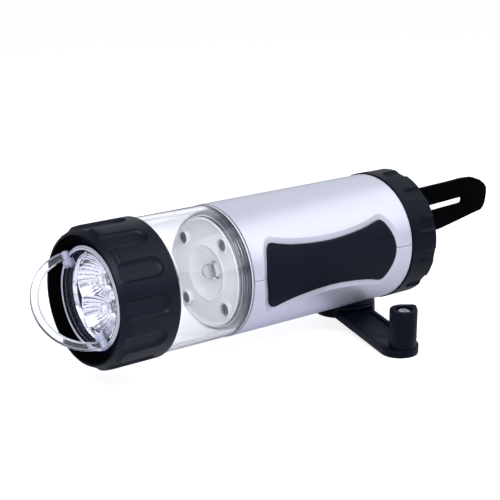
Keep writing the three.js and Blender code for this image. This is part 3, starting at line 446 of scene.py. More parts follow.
def scooped(name, outer, inner, closed_x, open_x, fine_x, width, depth, surface_r, half_turn=False):
    """A ring with scoops round it. outer is the outside's (x, radius) from the scoops' closed end to
    their open end, inner the rest. Rows of points lie closer together from fine_x to the open end."""
    half = width / 2
    half_angle = math.asin(half / surface_r)
    period = 2 * math.pi / SCOOPS
    towards = 1 if open_x > closed_x else -1
    middle = closed_x + towards * half
    columns = []
    for i in range(SCOOPS):
        centre = period * (i + (0.5 if half_turn else 0))
        columns += [(centre + half_angle * share, share) for share in SCOOP_SHARES]
        columns += [(centre + half_angle + (period - 2 * half_angle) * k / RIB_CELLS, 1.0)
                    for k in range(RIB_CELLS)]

    def outside(x):
        for (x0, r0), (x1, r1) in zip(outer, outer[1:]):
            if min(x0, x1) - TINY <= x <= max(x0, x1) + TINY and x0 != x1:
                return r0 + (r1 - r0) * (x - x0) / (x1 - x0)
        return outer[-1][1]

    def at(x, r, angle):
        return x, -r * math.sin(angle), r * math.cos(angle)

    def carved(x, angle, share):
        beyond = max(0, (middle - x) * towards / half)
        reach = min(1, math.hypot(beyond, share))
        return at(x, min(outside(x), surface_r - depth * (1 - reach ** WALL_POWER)), angle)

    rows = [[at(x, r, a) for a, _ in columns] for x, r in outer if (x - closed_x) * towards < -SCOOP_LEAD]
    lead = outer[len(rows) - 1][0]
    ends = [middle - towards * half * math.sqrt(max(0, 1 - share * share)) for _, share in columns]
    for part in LEAD_SHARES:
        rows.append([at(lead + (end - lead) * part, outside(lead + (end - lead) * part), a)
                     for end, (a, _) in zip(ends, columns)])
    for part in END_SHARES:
        rows.append([carved(end + (middle - end) * part, a, share) for end, (a, share) in zip(ends, columns)])
    levels = [middle + (fine_x - middle) * j / COARSE_ROWS for j in range(1, COARSE_ROWS)]
    levels += [fine_x + (open_x - fine_x) * j / FINE_ROWS for j in range(FINE_ROWS + 1)]
    rows += [[carved(x, a, share) for a, share in columns] for x in levels]
    rows += [[(x, 0, 0)] if r < TINY else [at(x, r, a) for a, _ in columns] for x, r in inner]
    return solid(name, skin(rows, closed=True))


def head_ring():
    shoulder, slope, rim, nose, rise, bend = 5.2, 3.2, 2.0, 0.15, 0.8, 0.35
    scoop_end, scoop_width, scoop_depth, lip_wall, flange = 4.4, 7.9, 1.35, 0.9, 1.0
    outer = [(HEAD_REAR, HEAD_R - ROUNDED), (HEAD_REAR - ROUNDED, HEAD_R), *spread([
        (HEAD_FRONT + shoulder, HEAD_R), (HEAD_FRONT + slope, HEAD_R - 0.1, bend),
        (HEAD_FRONT + rim, HEAD_LIP + rise, SOFT), (HEAD_FRONT + nose, HEAD_LIP, ROUNDED),
        (HEAD_FRONT, HEAD_LIP - ROUNDED)])]
    inner = spread([
        (HEAD_FRONT, HEAD_LIP - lip_wall, SOFT), (LENS_FACE, HEAD_MOUTH, FINE),
        (LENS_FACE + flange, HEAD_MOUTH, FINE), (LENS_FACE + flange, HEAD_INNER, FINE),
        (HEAD_REAR, HEAD_INNER)])
    obj = scooped("bezel", outer, inner, closed_x=HEAD_REAR - scoop_end, open_x=HEAD_FRONT,
                  fine_x=HEAD_FRONT + shoulder, width=scoop_width, depth=scoop_depth, surface_r=HEAD_R)
    seat(obj, TORCH, BLACK, "head_ring", "black_plastic", "head_bezel", sharp=30)
    # Painted shade: the head ring's inner cone is painted near black.
    repaint(obj, CONE_SHADE, lambda p: HEAD_FRONT + 0.1 < p.x < HEAD_REAR - 4 and off_axis(p) < HEAD_LIP - 0.95)


def tail_cap():
    rear = CAP_FRONT + CAP_LENGTH
    end_wall, seal_depth, edge, edge_start = 4, 8, 1.0, 2
    scoop_start, scoop_width, scoop_depth, fine_length = 3.6, 6.6, 1.3, 2.4
    outer = [(CAP_FRONT, CAP_R - ROUNDED), (CAP_FRONT + ROUNDED, CAP_R), *spread([
        (rear - edge_start, CAP_R), (rear - 1.1, CAP_R, ROUNDED), (rear - 0.1, CAP_R - edge, ROUNDED),
        (rear, CAP_R - edge - ROUNDED)])]
    inner = [(rear, CAP_R - 4), (rear, 0), (rear - end_wall, 0), (rear - end_wall, NECK_BORE),
             (CAP_FRONT + seal_depth, NECK_BORE), (CAP_FRONT + seal_depth, CAP_BORE), (CAP_FRONT, CAP_BORE)]
    obj = scooped("cap", outer, inner, closed_x=CAP_FRONT + scoop_start, open_x=rear,
                  fine_x=rear - fine_length, width=scoop_width, depth=scoop_depth, surface_r=CAP_R,
                  half_turn=True)
    lug_width, lug_half = 3.0, 2.6
    for end in (-1, 1):
        near = LOOP_Z + end * (LOOP_WIDTH / 2 + GAP)
        low, high = sorted((near, near + end * lug_width))
        combine(obj, "UNION", block(rear - 2, LOOP_X + LOOP_BARREL, -lug_half, lug_half, low, high))
    combine(obj, "DIFFERENCE", moved(post(-CAP_R, CAP_R, LOOP_BORE), x=LOOP_X))
    # Painted shade: the darker copy of the black plastic.
    seat(obj, TORCH, SHADED_BLACK, "cap", "black_plastic", "tail_cap", sharp=30)


# Silver shells and grip pads, drawn round the grip's outline
GRIP_SHARES = [
    (0, 0), (0.012, 0.48), (0.03, 0.83), (0.06, 1), (0.1, 0.96), (0.2, 0.85), (0.34, 0.765), (0.49, 0.73),
    (0.61, 0.755), (0.73, 0.82), (0.82, 0.9), (0.885, 0.985), (0.915, 0.98), (0.94, 0.86), (0.967, 0.63),
    (0.99, 0.34), (1, 0)
]
GRIP_CENTRE, GRIP_STEPS = GRIP_FRONT + GRIP_LENGTH / 2, 6
GRIP_ROLL = [(0.6, 1.5), (0.0, 1.5), (0.0, 0.75), (0.1, 0.45), (0.3, 0.22), (0.6, 0.07), (1.0, 0)]
PAD_SHARES = 0.92, 0.84, 0.72, 0.6, 0.48, 0.36, 0.24, 0.12
SLOPE_SHARES = 0.33, 0.66, 1.0
NECK_PROFILE = [(-1.9, NECK_BORE), (-1.9, 24.2), (2.6, 24.2), (2.6, 23.4), (4.4, 23.4), (4.4, 24.2),
                (7.1, 24.2), (7.1, NECK_BORE)]
NECK_LEAD = 0.3  # degrees


def curve(points, steps):
    """A smooth closed curve through points, as the part's source draws it."""
    out, count = [], len(points)
    for i in range(count):
        p = [Vector(points[(i + k) % count]) for k in (-1, 0, 1, 2)]
        d = [max((p[k + 1] - p[k]).length ** 0.5, TINY) for k in range(3)]
        m1 = (p[1] - p[0]) / d[0] - (p[2] - p[0]) / (d[0] + d[1]) + (p[2] - p[1]) / d[1]
        m2 = (p[2] - p[1]) / d[1] - (p[3] - p[1]) / (d[1] + d[2]) + (p[3] - p[2]) / d[2]
        m1, m2 = m1 * d[1], m2 * d[1]
        for k in range(steps):
            t = k / steps
            out.append(p[1] * (2 * t ** 3 - 3 * t * t + 1) + m1 * (t ** 3 - 2 * t * t + t)
                       + p[2] * (3 * t * t - 2 * t ** 3) + m2 * (t ** 3 - t * t))
    return out


def grip_outline():
    """The outline's upper half, from its front point to its rear point."""
    upper = [(GRIP_FRONT + GRIP_LENGTH * a, GRIP_HALF * u) for a, u in GRIP_SHARES]
    lower = [(x, -z) for x, z in upper[1:-1]]
    closed = curve(upper + lower[::-1], GRIP_STEPS)
    half = closed[:GRIP_STEPS * (len(upper) - 1) + 1]
    half[0].y = half[-1].y = 0
    return half


def offset(outline, distance):
    """The upper half outline moved outwards."""
    out = []
    for i, p in enumerate(outline):
        a = outline[i - 1] if i else Vector((outline[1].x, -outline[1].y))
        b = outline[i + 1] if i + 1 < len(outline) else Vector((outline[-2].x, -outline[-2].y))
        along = (b - a).normalized()
        q = p + Vector((-along.y, along.x)) * distance
        if i in (0, len(outline) - 1):
            q.y = 0
        out.append(q)
    return out


def flat(outline):
    """An outline with its heights measured round the body."""
    return [Vector((p.x, BODY_R * math.asin(max(-1, min(1, p.y / BODY_R))))) for p in outline]


def around(x, height, r, side):
    """A point on the body: height is measured on the body's own radius."""
    angle = height / BODY_R
    return x, side * r * math.cos(angle), r * math.sin(angle)


def quarter(side, up):
    """One quarter of the shells' outside, from the grip's border to the top or bottom line."""
    edge, border = flat(grip_outline()), flat(offset(grip_outline(), GRIP_BORDER))
    centre, top = Vector((GRIP_CENTRE, 0)), BODY_R * math.pi / 2
    outer = []
    for p in border:
        ray = p - centre
        limits = [top / ray.y] if ray.y > TINY else []
        if abs(ray.x) > TINY:
            limits.append(((BODY_LENGTH if ray.x > 0 else 0) - GRIP_CENTRE) / ray.x)
        outer.append(centre + ray * min(limits))
    for corner in (Vector((0, top)), Vector((BODY_LENGTH, top))):
        nearest = min(range(len(outer)), key=lambda i: (outer[i] - corner).length)
        outer[nearest] = corner

    def row(start, end, share, r):
        return [around(a.x + (b.x - a.x) * share, max(a.y + (b.y - a.y) * share, SEAM), r, side)
                for a, b in zip(start, end)]

    rows = [row(edge, border, 0, BODY_R - GRIP_POCKET), row(edge, border, 0, BODY_R - GRIP_SLOPE)]
    rows += [row(edge, border, share, BODY_R - GRIP_SLOPE * (1 - share)) for share in SLOPE_SHARES]
    rows += [row(border, outer, j / QUARTER_ROWS, BODY_R) for j in range(1, QUARTER_ROWS + 1)]
    width = len(rows[0])
    points = [(x, y, z * up) for line in rows for x, y, z in line]
    faces = [(j * width + k, j * width + k + 1, (j + 1) * width + k + 1, (j + 1) * width + k)
             for j in range(len(rows) - 1) for k in range(width - 1)]
    return points, faces


def neck(up):
    """The half ring behind the shell that goes into the tail cap."""
    profile = [(BODY_LENGTH + x, r) for x, r in NECK_PROFILE]
    lead = math.radians(NECK_LEAD)
    turns = [lead + (math.pi - 2 * lead) * k / NECK_STEPS for k in range(NECK_STEPS + 1)]
    return swept([[(x, r * math.cos(a), up * r * math.sin(a)) for x, r in profile] for a in turns])


def face_outwards(obj):
    """Makes an open shell's faces point away from the torch axis."""
    work = bmesh.new()
    work.from_mesh(obj.data)
    inwards = [face for face in work.faces if (
        face.normal.y * face.calc_center_median().y + face.normal.z * face.calc_center_median().z < 0)]
    bmesh.ops.reverse_faces(work, faces=inwards)
    work.to_mesh(obj.data)
    work.free()


def shell(name, node, up):
    obj = solid(name, merged(quarter(-1, up), quarter(1, up)))
    face_outwards(obj)
    step = obj.modifiers.new("wall", "SOLIDIFY")
    step.thickness, step.offset, step.use_even_offset = SHELL_WALL, -1, False
    apply(obj)
    if up < 0:
        combine(obj, "DIFFERENCE", moved(post(-FAR, SEAT_Z, HUB_R + GAP, sides=HUB_SIDES), x=CRANK_X))
    ring = solid("ring", neck(up))
    seat(ring, TORCH, SILVER, "torch_body", "silver_plastic")
    ring.name = name + "_neck"
    seat(obj, TORCH, SILVER, "torch_body", "silver_plastic", node, sharp=20)


def grip(name, node, side):
    """A soft pad with rolled edges, proud of the shell."""
    upper = offset(grip_outline(), -GRIP_CLEARANCE)
    outline = flat(upper + [Vector((p.x, -p.y)) for p in upper[-2:0:-1]])
    centre, crown = Vector((GRIP_CENTRE, 0)), BODY_R + GRIP_PROUD
    rows = [[(GRIP_CENTRE, side * (crown - GRIP_THICK), 0)]]
    for inset, drop in GRIP_ROLL:
        row = []
        for p in outline:
            ray = p - centre
            q = centre + ray * (1 - inset / ray.length)
            row.append(around(q.x, q.y, crown - drop, side))
        rows.append(row)
    for share in PAD_SHARES:
        rows.append([around(*(centre + (p - centre) * share), crown, side) for p in outline])
    rows.append([(GRIP_CENTRE, side * crown, 0)])
    obj = solid(name, skin(rows, closed=False))
    seat(obj, TORCH, RUBBER, "torch_body", "grip_rubber", node, sharp=40)


# Lantern section. A step of the coupling ring is (x, radius[, fillet]); its painted dark reflection marks are
# placed in degrees.
COUPLING_STEP = [(0.15, 0.3), (0.45, 0.75, CRISP), (0.80, 0.75, CRISP), (0.90, 0.5)]
MARK_EVERY, MARK_TURN, MARK_HALF = 30, 13, 4


def lantern_tube():
    neck_length, wall, inner_fillet = 9.4, 1.3, 0.6
    neck_front, shoulder, rear, edge = HEAD_REAR - neck_length, HEAD_REAR + GAP, -GAP, 0.8
    tube = solid("lantern_glass", turned([
        (neck_front, NECK_INNER), (neck_front, NECK_OUTER, FINE), (shoulder, NECK_OUTER, FINE),
        (shoulder, LANTERN_R, SOFT), (rear - edge, LANTERN_R), (rear, LANTERN_R, SOFT),
        (rear, LANTERN_INNER, SOFT), (COUPLING_FRONT, LANTERN_INNER, FINE),
        (COUPLING_FRONT - GAP, LANTERN_INNER), (shoulder + wall, LANTERN_INNER, inner_fillet),
        (shoulder + wall, NECK_INNER, SOFT)], CLEAR_SIDES))
    seat(tube, TORCH, CLEAR, "torch_body", "clear_plastic", "lantern_tube")
    # Painted highlight: a light band round the tube's rear edge.
    repaint(tube, EDGE_LIGHT, lambda p: p.x > rear - edge and off_axis(p) > LANTERN_R - 0.05)


def coupling():
    """The ring at the silver edge, with a stepped front, painted shade in its grooves and painted dark
    reflections in marks round it.
    """
    inner, rear, bore, web = COUPLING_R - COUPLING_WALL, 8, 4, 2
    steps = [(COUPLING_FRONT + x + COUPLING_PITCH * k, inner + r + COUPLING_RISE * k, *fillet)
             for k in range(COUPLING_STEPS) for x, r, *fillet in COUPLING_STEP]
    ring = solid("coupling", turned([
        (COUPLING_FRONT, inner), (COUPLING_FRONT, inner + 0.4), *steps, (-0.1, COUPLING_R, FINE),
        (rear, COUPLING_R), (rear, inner), (COUPLING_WEB + web, inner), (COUPLING_WEB + web, bore),
        (COUPLING_WEB, bore), (COUPLING_WEB, inner)], CLEAR_SIDES))
    seat(ring, TORCH, GREY, "torch_body", "grey_plastic", "coupling_ring")

    def dark(p):
        turn = math.degrees(math.atan2(p.z, -p.y)) % MARK_EVERY
        groove = (p.x - COUPLING_FRONT) % COUPLING_PITCH < GROOVE_SHADE_WIDTH
        return COUPLING_FRONT + 0.1 < p.x < -0.15 and (groove or abs(turn - MARK_TURN) < MARK_HALF)

    # Painted shade in the grooves and painted dark reflections in the marks.
    repaint(ring, SHADE, dark)
    repaint(ring, WHITE, lambda p: p.x < COUPLING_FRONT + 0.05)


def dish():
    """The white reflector, with bosses round its screws."""
    rim = COUPLING_R - COUPLING_WALL - GAP
    profile = [(0, rim, CRISP), (-0.3, rim - 0.5, FINE), (0, rim - 1.0, CRISP), (1.1, rim - 1.7, SOFT),
               (1.2, 11.6, CRISP), (0.8, 11.2, CRISP), (0.8, 10.8, CRISP), (3.4, 8, 1.5), (5.2, 3.6, FINE),
               (6.4, 3.6), (5.4, 9), (4.4, 12), (4.3, rim)]
    obj = solid("dish", turned([(DISH_FRONT + x, r, *fillet) for x, r, *fillet in profile], CLEAR_SIDES))
    top, root, counterbore, shank = DISH_FRONT - BOSS_HEIGHT, DISH_FRONT + 2, 1.4, 1.2
    for y, z in ring_places(SCREW_CIRCLE, SCREW_TURN, SCREW_COUNT):
        combine(obj, "UNION", moved(turned([
            (top, 0), (top, BOSS_R, SOFT), (root, BOSS_R), (root, 0)], MEDIUM), y=y, z=z))
        combine(obj, "DIFFERENCE", moved(turned([
            (-12, 0), (-12, SCREW_HOLE), (top + counterbore, SCREW_HOLE), (top + counterbore, shank),
            (3, shank), (3, 0)], MEDIUM), y=y, z=z))
    seat(obj, TORCH, WHITE, "torch_body", "white_plastic", "lantern_reflector")
    # Painted shade: the white dish's rim wall is painted dark grey.
    repaint(obj, GREY, lambda p: off_axis(p) > rim - 0.05 and p.x > DISH_FRONT + 0.25)


def screws():
    under, thread, head_r, rear = DISH_FRONT - BOSS_HEIGHT + 1.35, 1.1, 2.1, COUPLING_WEB + 2
    high, slot_floor, slot_reach = 1.0, 0.6, 1.3
    for k, (y, z) in enumerate(ring_places(SCREW_CIRCLE, SCREW_TURN, SCREW_COUNT), 1):
        obj = solid(f"screw_{k}", turned([
            (under - high, 0), (under - high, 1.4, FINE), (under - 0.8, head_r, ROUNDED),
            (under, head_r, FINE), (under, thread), (rear, thread), (rear, 0)], SMALL))
        for y_half, z_half in ((slot_reach, SLOT_THIN), (SLOT_THIN, slot_reach)):
            combine(obj, "DIFFERENCE",
                    block(under - 2, under - slot_floor, -y_half, y_half, -z_half, z_half))
        obj.data.transform(shift(0, y, z))
        seat(obj, TORCH, DARK_STEEL, "torch_body", "steel", f"lantern_screw_{k}")


def lantern_cone():
    plate, plate_r, plate_rear, tip, tip_r = -37.6, 21.5, -36.1, -20.1, 1.5
    waist, waist_r, waist_fillet = -30, 10, 6
    cone = solid("cone", turned([
        (plate, 0), (plate, plate_r, SOFT), (plate_rear, plate_r, 0.5), (waist, waist_r, waist_fillet),
        (tip, tip_r, 0.6), (tip, 0)], HUB_SIDES))
    seat(cone, TORCH, CHROME, "torch_body", "mirror_plating", "lantern_cone")


# Lens, reflector and diodes
def lens():
    inner, back, flange_r = LENS_R - LENS_WALL, LENS_FACE + LENS_THICK, 24.6
    glass = solid("lens", turned([
        (LENS_FACE, 0), (LENS_FACE, LENS_R - LENS_EDGE), (LENS_FACE, LENS_R - LENS_RIM),
        *((LENS_FACE, LENS_R - r) for r in HIGHLIGHT_LINE), (LENS_FACE + 0.05, LENS_R - 0.4),
        (LENS_FACE + 0.4, LENS_R), (LENS_FLANGE[0], LENS_R, FINE), (LENS_FLANGE[0], flange_r, FINE),
        (LENS_FLANGE[1], flange_r, FINE), (LENS_FLANGE[1], inner, FINE), (back, inner, 0.5), (back, 0)],
        CLEAR_SIDES))
    lean = spin(-BAIL_LEAN, "X")
    lug_outer, lug_deep, lug_half = BAIL_R - BAIL_WIDTH - GAP, 2.4, 1.45
    for end in (-1, 1):
        low, high = sorted((end * lug_outer, end * (lug_outer - lug_deep)))
        lug = block(BAIL_X - lug_half, LENS_FACE + 0.8, -lug_half, lug_half, low, high)
        combine(glass, "UNION", leaned(lug, lean))
    combine(glass, "DIFFERENCE", leaned(moved(post(-BAIL_R, BAIL_R, PIN_BORE), x=BAIL_X), lean))
    seat(glass, TORCH, GLASS, "head_ring", "clear_plastic", "front_lens")

    def ringed(p, outer, inner):
        return LENS_R - outer < off_axis(p) < LENS_R - inner

    front = LENS_FACE + 0.01
    # Painted highlight: a light ring round the lens's edge.
    repaint(glass, EDGE_LIGHT, lambda p: p.x < LENS_FACE + 0.5 and ringed(p, LENS_RIM, -0.01))
    # Painted highlight: a thin light line on the lens face.
    repaint(glass, EDGE_LINE_LIGHT, lambda p: p.x < front and ringed(p, *HIGHLIGHT_LINE))
    # Painted shade: the clear lens's wall, flange and a ring on its face are painted dark blue.
    repaint(glass, LENS_SHADE, lambda p: off_axis(p) > inner - 0.6 and (
        p.x > LENS_FACE + 0.55 or p.x < front and ringed(p, LENS_EDGE, LENS_RIM)))
    repaint(glass, LUG, lambda p: p.x < LENS_FACE - 0.05)


def lens_sleeve():
    """A grooved sleeve between the lens and the reflector, dark blue as painted shade."""
    outer, front, rear = LENS_R - LENS_WALL - 0.12, LENS_FACE + LENS_THICK + 0.2, REFLECTOR_FRONT - 1.1
    inner, first, pitch = outer - 0.35, 0.3, 0.7
    grooves = [(front + first + pitch * k + x, inner + rise)
               for k in range(2) for x, rise in ((0, 0), (0.3, 0), (0.4, 0.12), (0.6, 0.12))]
    sleeve = solid("lens_sleeve", turned([
        (front, outer), (front, inner), *grooves, (rear, inner), (rear, outer)], CLEAR_SIDES))
    seat(sleeve, TORCH, LENS_SHADE, "torch_body", "black_plastic")
    # Painted highlight: a thin light line on the sleeve's front face.
    repaint(sleeve, EDGE_LIGHT, lambda p: p.x < front + 0.01)


def reflector():
    """A plated face with three overlapping fluted cups, with painted shade lines along the flutes' valleys.
    """
    cups = ring_places(CUP_CIRCLE, CUP_TURN, CUP_COUNT)
    depth, rim, fade, lip = REFLECTOR_DEPTH - 1.4, REFLECTOR_R - 0.9, 0.8, REFLECTOR_FRONT - 0.9
    rear = REFLECTOR_FRONT + REFLECTOR_DEPTH

    def deepest(y, z):
        """The depth behind the face, and the place on its flute, from 0 in a valley to 1."""
        best = 0, 1
        for cy, cz in cups:
            share = min(1, math.hypot(y - cy, z - cz) / CUP_R)
            flute = abs(math.cos(CUP_FLUTES / 2 * math.atan2(z - cz, y - cy)))
            here = depth * (1 - share ** 3) * 1.05 + FLUTE_DEPTH * flute * share * (1 - share ** 8)
            if share < 1 and here > best[0]:
                best = min(depth, here), flute
        return best

    def face(r, angle):
        y, z = r * math.sin(angle), r * math.cos(angle)
        return REFLECTOR_FRONT + deepest(y, z)[0] * min(1, (rim - r) / fade), y, z

    turns = [2 * math.pi * k / CUP_SIDES for k in range(CUP_SIDES)]
    rows = [[face(0, 0)]]
    rows += [[face(rim * j / CUP_RINGS, a) for a in turns] for j in range(1, CUP_RINGS + 1)]
    rows += [[(x, r * math.sin(a), r * math.cos(a)) for a in turns] for x, r in (
        (lip, rim + 0.1), (lip, REFLECTOR_R - 0.2), (REFLECTOR_FRONT, REFLECTOR_R), (rear, REFLECTOR_R),
        (rear, rim - 2))]
    rows.append([(rear, 0, 0)])
    obj = solid("reflector", skin(rows, closed=False))
    for y, z in cups:
        combine(obj, "DIFFERENCE", moved(rod(-60, -40, CUP_HOLE), y=y, z=z))
    seat(obj, TORCH, CHROME, "torch_body", "mirror_plating", "torch_reflector", sharp=50)
    # Painted shade: darker plating along the flutes' valleys.
    repaint(obj, FLUTE_SHADE, lambda p: REFLECTOR_FRONT + 0.1 < p.x < REFLECTOR_FRONT + depth - 0.6
            and off_axis(p) < rim - 0.5 and deepest(p.y, p.z)[1] < 0.3)


def diodes():
    rear, flange_r, flange, body_r, length, dome = -43.0, 2.4, 0.8, 2.2, 5.4, 2.5
    nose = [(rear - length - dome * math.sin(math.radians(a)), body_r * math.cos(math.radians(a)))
            for a in range(0, 91, 10)]
    profile = [(rear, 0), (rear, flange_r, 0.1), (rear - flange, flange_r, 0.1), (rear - flange, body_r),
               *nose]
    for k, (y, z) in enumerate(ring_places(CUP_CIRCLE, CUP_TURN, CUP_COUNT), 1):
        led = solid(f"diode_{k}", moved(turned(profile, SMALL), y=y, z=z))
        seat(led, TORCH, EMITTER, "torch_body", "led_resin", f"torch_led_{k}")


# Bail: a flat band with rounded edges round the lens's mouth
def bail():
    half_w, half_t, edge, band = BAIL_WIDTH / 2, BAIL_THICK / 2, 0.45, 0.27
    section = []
    for cx, cy, start in ((1, 1, 0), (-1, 1, 90), (-1, -1, 180), (1, -1, 270)):
        section += arc(cx * (half_w - edge), cy * (half_t - edge), edge, start, start + 90, 4)
    middle, inner = BAIL_R - half_w, BAIL_R - BAIL_WIDTH
    turns = [math.radians(90 + 180 * k / BAIL_STEPS) for k in range(BAIL_STEPS + 1)]
    obj = solid("bail", swept([
        [((middle + w) * math.cos(a), t, (middle + w) * math.sin(a)) for w, t in section] for a in turns]))
    for end in (-1, 1):
        combine(obj, "UNION", post(*sorted((end * inner, end * BAIL_R)), BAIL_BARREL, 0.25))
    combine(obj, "DIFFERENCE", post(-FAR, FAR, PIN_BORE))
    seat(obj, BAIL, BAND, "bail", "clear_plastic", "hanging_bail")
    # Painted highlights: light lines along the bail's edges.
    repaint(obj, EDGE_LINE_LIGHT, lambda p: abs(p.y) > half_t - band and p.x < -BAIL_BARREL
            and abs(math.hypot(p.x, p.z) - BAIL_R + half_w) > half_w - band, BAIL)
    repaint(obj, LUG, lambda p: math.hypot(p.x, p.y) < BAIL_BARREL + 0.02, BAIL)


# Crank
def bush():
    bottom, top, lip, lip_top, sleeve_r, sleeve_top = -25.4, -14, 1, -24.7, 6, -19
    obj = solid("bush", upright([(bottom, 0), (bottom, HUB_R, SOFT), (top, HUB_R), (top, 0)], HUB_SIDES))
    combine(obj, "DIFFERENCE", rod(-20, 20, BODY_R + 0.1, sides=CLEAR_SIDES))
    combine(obj, "UNION", upright([
        (bottom, SHAFT_BORE), (bottom, HUB_R - lip), (lip_top, HUB_R - lip), (lip_top, sleeve_r),
        (sleeve_top, sleeve_r), (sleeve_top, SHAFT_BORE)], MEDIUM))
    # Painted shade: the darker copy of the black plastic.
    seat(obj, BUSH, SHADED_BLACK, "torch_body", "black_plastic", "crank_bush")


def hub():
    half, below = ARM_WIDTH / 2 + GAP, 2
    obj = solid("hub", upright([
        (HUB_BOTTOM, 0), (HUB_BOTTOM, HUB_R, 0.6), (HUB_TOP, HUB_R, ROUNDED), (HUB_TOP, 0)], HUB_SIDES))
    combine(obj, "DIFFERENCE", block(-20, 20, -half, half, HUB_BOTTOM - below, HUB_BASE),
            post(-FAR, 0, SHAFT_BORE), moved(tipped(post(-20, 20, HINGE_BORE)), z=HINGE_Z))
    # Painted shade: the darker copy of the black plastic.
    seat(obj, CRANK, SHADED_BLACK, "crank", "black_plastic", "crank_hub")


def arm():
    half, pocket_wall, pocket_start, pocket_end, pocket_depth = ARM_WIDTH / 2, 1.5, 13, 39.5, 1.1
    outline = [(0, -half), *arc(ARM_REACH, 0, half, -90, 90, 40), (0, half)]
    obj = solid("arm", prism(outline, -ARM_HALF, ARM_HALF))
    combine(obj, "UNION", tipped(post(-half, half, ARM_HALF)))
    side = half - pocket_wall
    pocket = [(pocket_start, -side), (pocket_end, -side), (pocket_end, side), (pocket_start, side)]
    combine(obj, "DIFFERENCE", prism(pocket, ARM_HALF - pocket_depth, ARM_HALF + 2),
            tipped(post(-20, 20, HINGE_BORE)))
    bevel(obj, 0.35, 50)
    stem = upright([(0, 0), (0, POST_R), (POST_TOP, POST_R, FINE), (POST_TOP, 0)], SMALL)
    combine(obj, "UNION", moved(stem, x=KNOB_X))
    combine(obj, "DIFFERENCE", moved(post(POST_BORE_FROM, POST_TOP + 1.2, POST_BORE), x=KNOB_X))
    # Painted shade: the darker copy of the black plastic.
    seat(obj, ARM, SHADED_BLACK, "arm", "black_plastic", "crank_arm")


def knob():
    """A round knob with one ridge, on the arm's post."""
    ridge, top = KNOB_RIDGE_WIDTH / 2, KNOB_BASE + KNOB_HEIGHT
    meet = math.degrees(math.asin(2.2 * KNOB_RIDGE_WIDTH / KNOB_R))
    outline = arc(0, 0, KNOB_R, -180 + meet, 180 - meet, 60) + [(-KNOB_RIDGE, ridge), (-KNOB_RIDGE, -ridge)]
    obj = solid("knob", prism(outline, KNOB_BASE, top))
    bevel(obj, 0.4, 50, 3)
    combine(obj, "DIFFERENCE", post(0, top, KNOB_BORE),
            post(top - KNOB_MOUTH_DEPTH, top + 1, KNOB_MOUTH, sides=MEDIUM))
    # Painted shade: the darker copy of the black plastic.
    seat(obj, KNOB @ spin(KNOB_RIDGE_TURN, "Z"), SHADED_BLACK, "knob", "black_plastic", "crank_knob")


def knob_screw():
    under, thread, thread_r, head_r, dome_r, high = 15.15, 8.3, 1.0, 2.9, 2.0, 1.3
    slot_reach, slot_half, slot_floor, over = 1.4, 0.25, under + 0.8, under + 3
    screw = solid("knob_screw_head", upright([
        (under - thread, 0), (under - thread, thread_r), (under, thread_r), (under, head_r, FINE),
        (under + 0.9, head_r, ROUNDED), (under + high, dome_r, FINE), (under + high, 0)], SMALL))
    for x_half, y_half in ((slot_reach, slot_half), (slot_half, slot_reach)):
        combine(screw, "DIFFERENCE", block(-x_half, x_half, -y_half, y_half, slot_floor, over))
    seat(screw, KNOB, STEEL, "arm", "steel", "knob_screw")


# Hang loop
LOOP_SHARES = [
    (0, 0.47), (0.25, 0.485), (0.55, 0.505), (0.72, 0.525), (0.83, 0.51), (0.92, 0.42), (0.975, 0.32),
    (1, 0.22), (0.998, 0.1), (0.985, -0.05), (0.965, -0.17), (0.93, -0.245), (0.83, -0.285), (0.65, -0.37),
    (0.45, -0.46), (0.25, -0.495), (0, -0.5)
]
SLOT_SHARES = [(0.14, 0), (0.7, 0.06)]


def hang_loop():
    def at(share):
        return LOOP_LENGTH * share[0], LOOP_Z + LOOP_WIDTH * share[1]

    half = LOOP_THICK / 2
    obj = solid("strap", tipped(prism([at(share) for share in LOOP_SHARES], -half, half)))
    (x0, z0), (x1, z1) = [at(share) for share in SLOT_SHARES]
    lean = math.degrees(math.atan2(z1 - z0, x1 - x0))
    slot = [*arc(x0, z0, LOOP_SLOT / 2, lean + 90, lean + 270, 12),
            *arc(x1, z1, LOOP_SLOT / 2, lean - 90, lean + 90, 12)]
    combine(obj, "DIFFERENCE", tipped(prism(slot, -4, 4)))
    bevel(obj, 0.45, 40, 3)
    low, high = LOOP_Z - LOOP_WIDTH / 2, LOOP_Z + LOOP_WIDTH * LOOP_SHARES[0][1]
    combine(obj, "UNION", post(low, high, LOOP_BARREL, SOFT))
    combine(obj, "DIFFERENCE", post(-30, 40, LOOP_BORE))
    seat(obj, LOOP, STRAP, "loop", "loop_plastic", "hang_loop")


def dress_cad_nodes():
    """Gives each carried-over CAD node the material of its slot."""
    slots = {part["node"]: part["material_slot"] for part in frame["record"].get("subparts", [])}
    for name, obj in frame["nodes"].items():
        material = BAND if name.startswith("bail_pin") else DOME if name == "lantern_led" else BY_SLOT.get(
            slots.get(name))
        for holder in obj.material_slots if material else ():
            holder.material = material


# Floor and light
FLOOR_HALF, FLOOR_GLOW, MIRRORED_GLOW = 3.0, 0.805, 0.42


def fed(nodes, links, kind, *sources, operation=None):
    """The output of a new node, whose inputs are fed by other outputs or by numbers."""
    node = nodes.new("ShaderNode" + kind)
    if operation:
        node.operation = operation
    for socket, source in zip(node.inputs, sources):
        if isinstance(source, float):
            socket.default_value = source
        else:
            links.new(source, socket)
    return node.outputs[0]


def seen_through(nodes, links):
    """Factors for camera rays, for rays straight through clear plastic and for those mirrored on the way."""
    path = nodes.new("ShaderNodeLightPath").outputs
    through = path["Is Transmission Ray"]
    straight = fed(nodes, links, "Math", path["Glossy Depth"], 0.5, operation="LESS_THAN")
    direct = fed(nodes, links, "Math", through, straight, operation="MULTIPLY")
    return path["Is Camera Ray"], direct, fed(nodes, links, "Math", through, direct, operation="SUBTRACT")


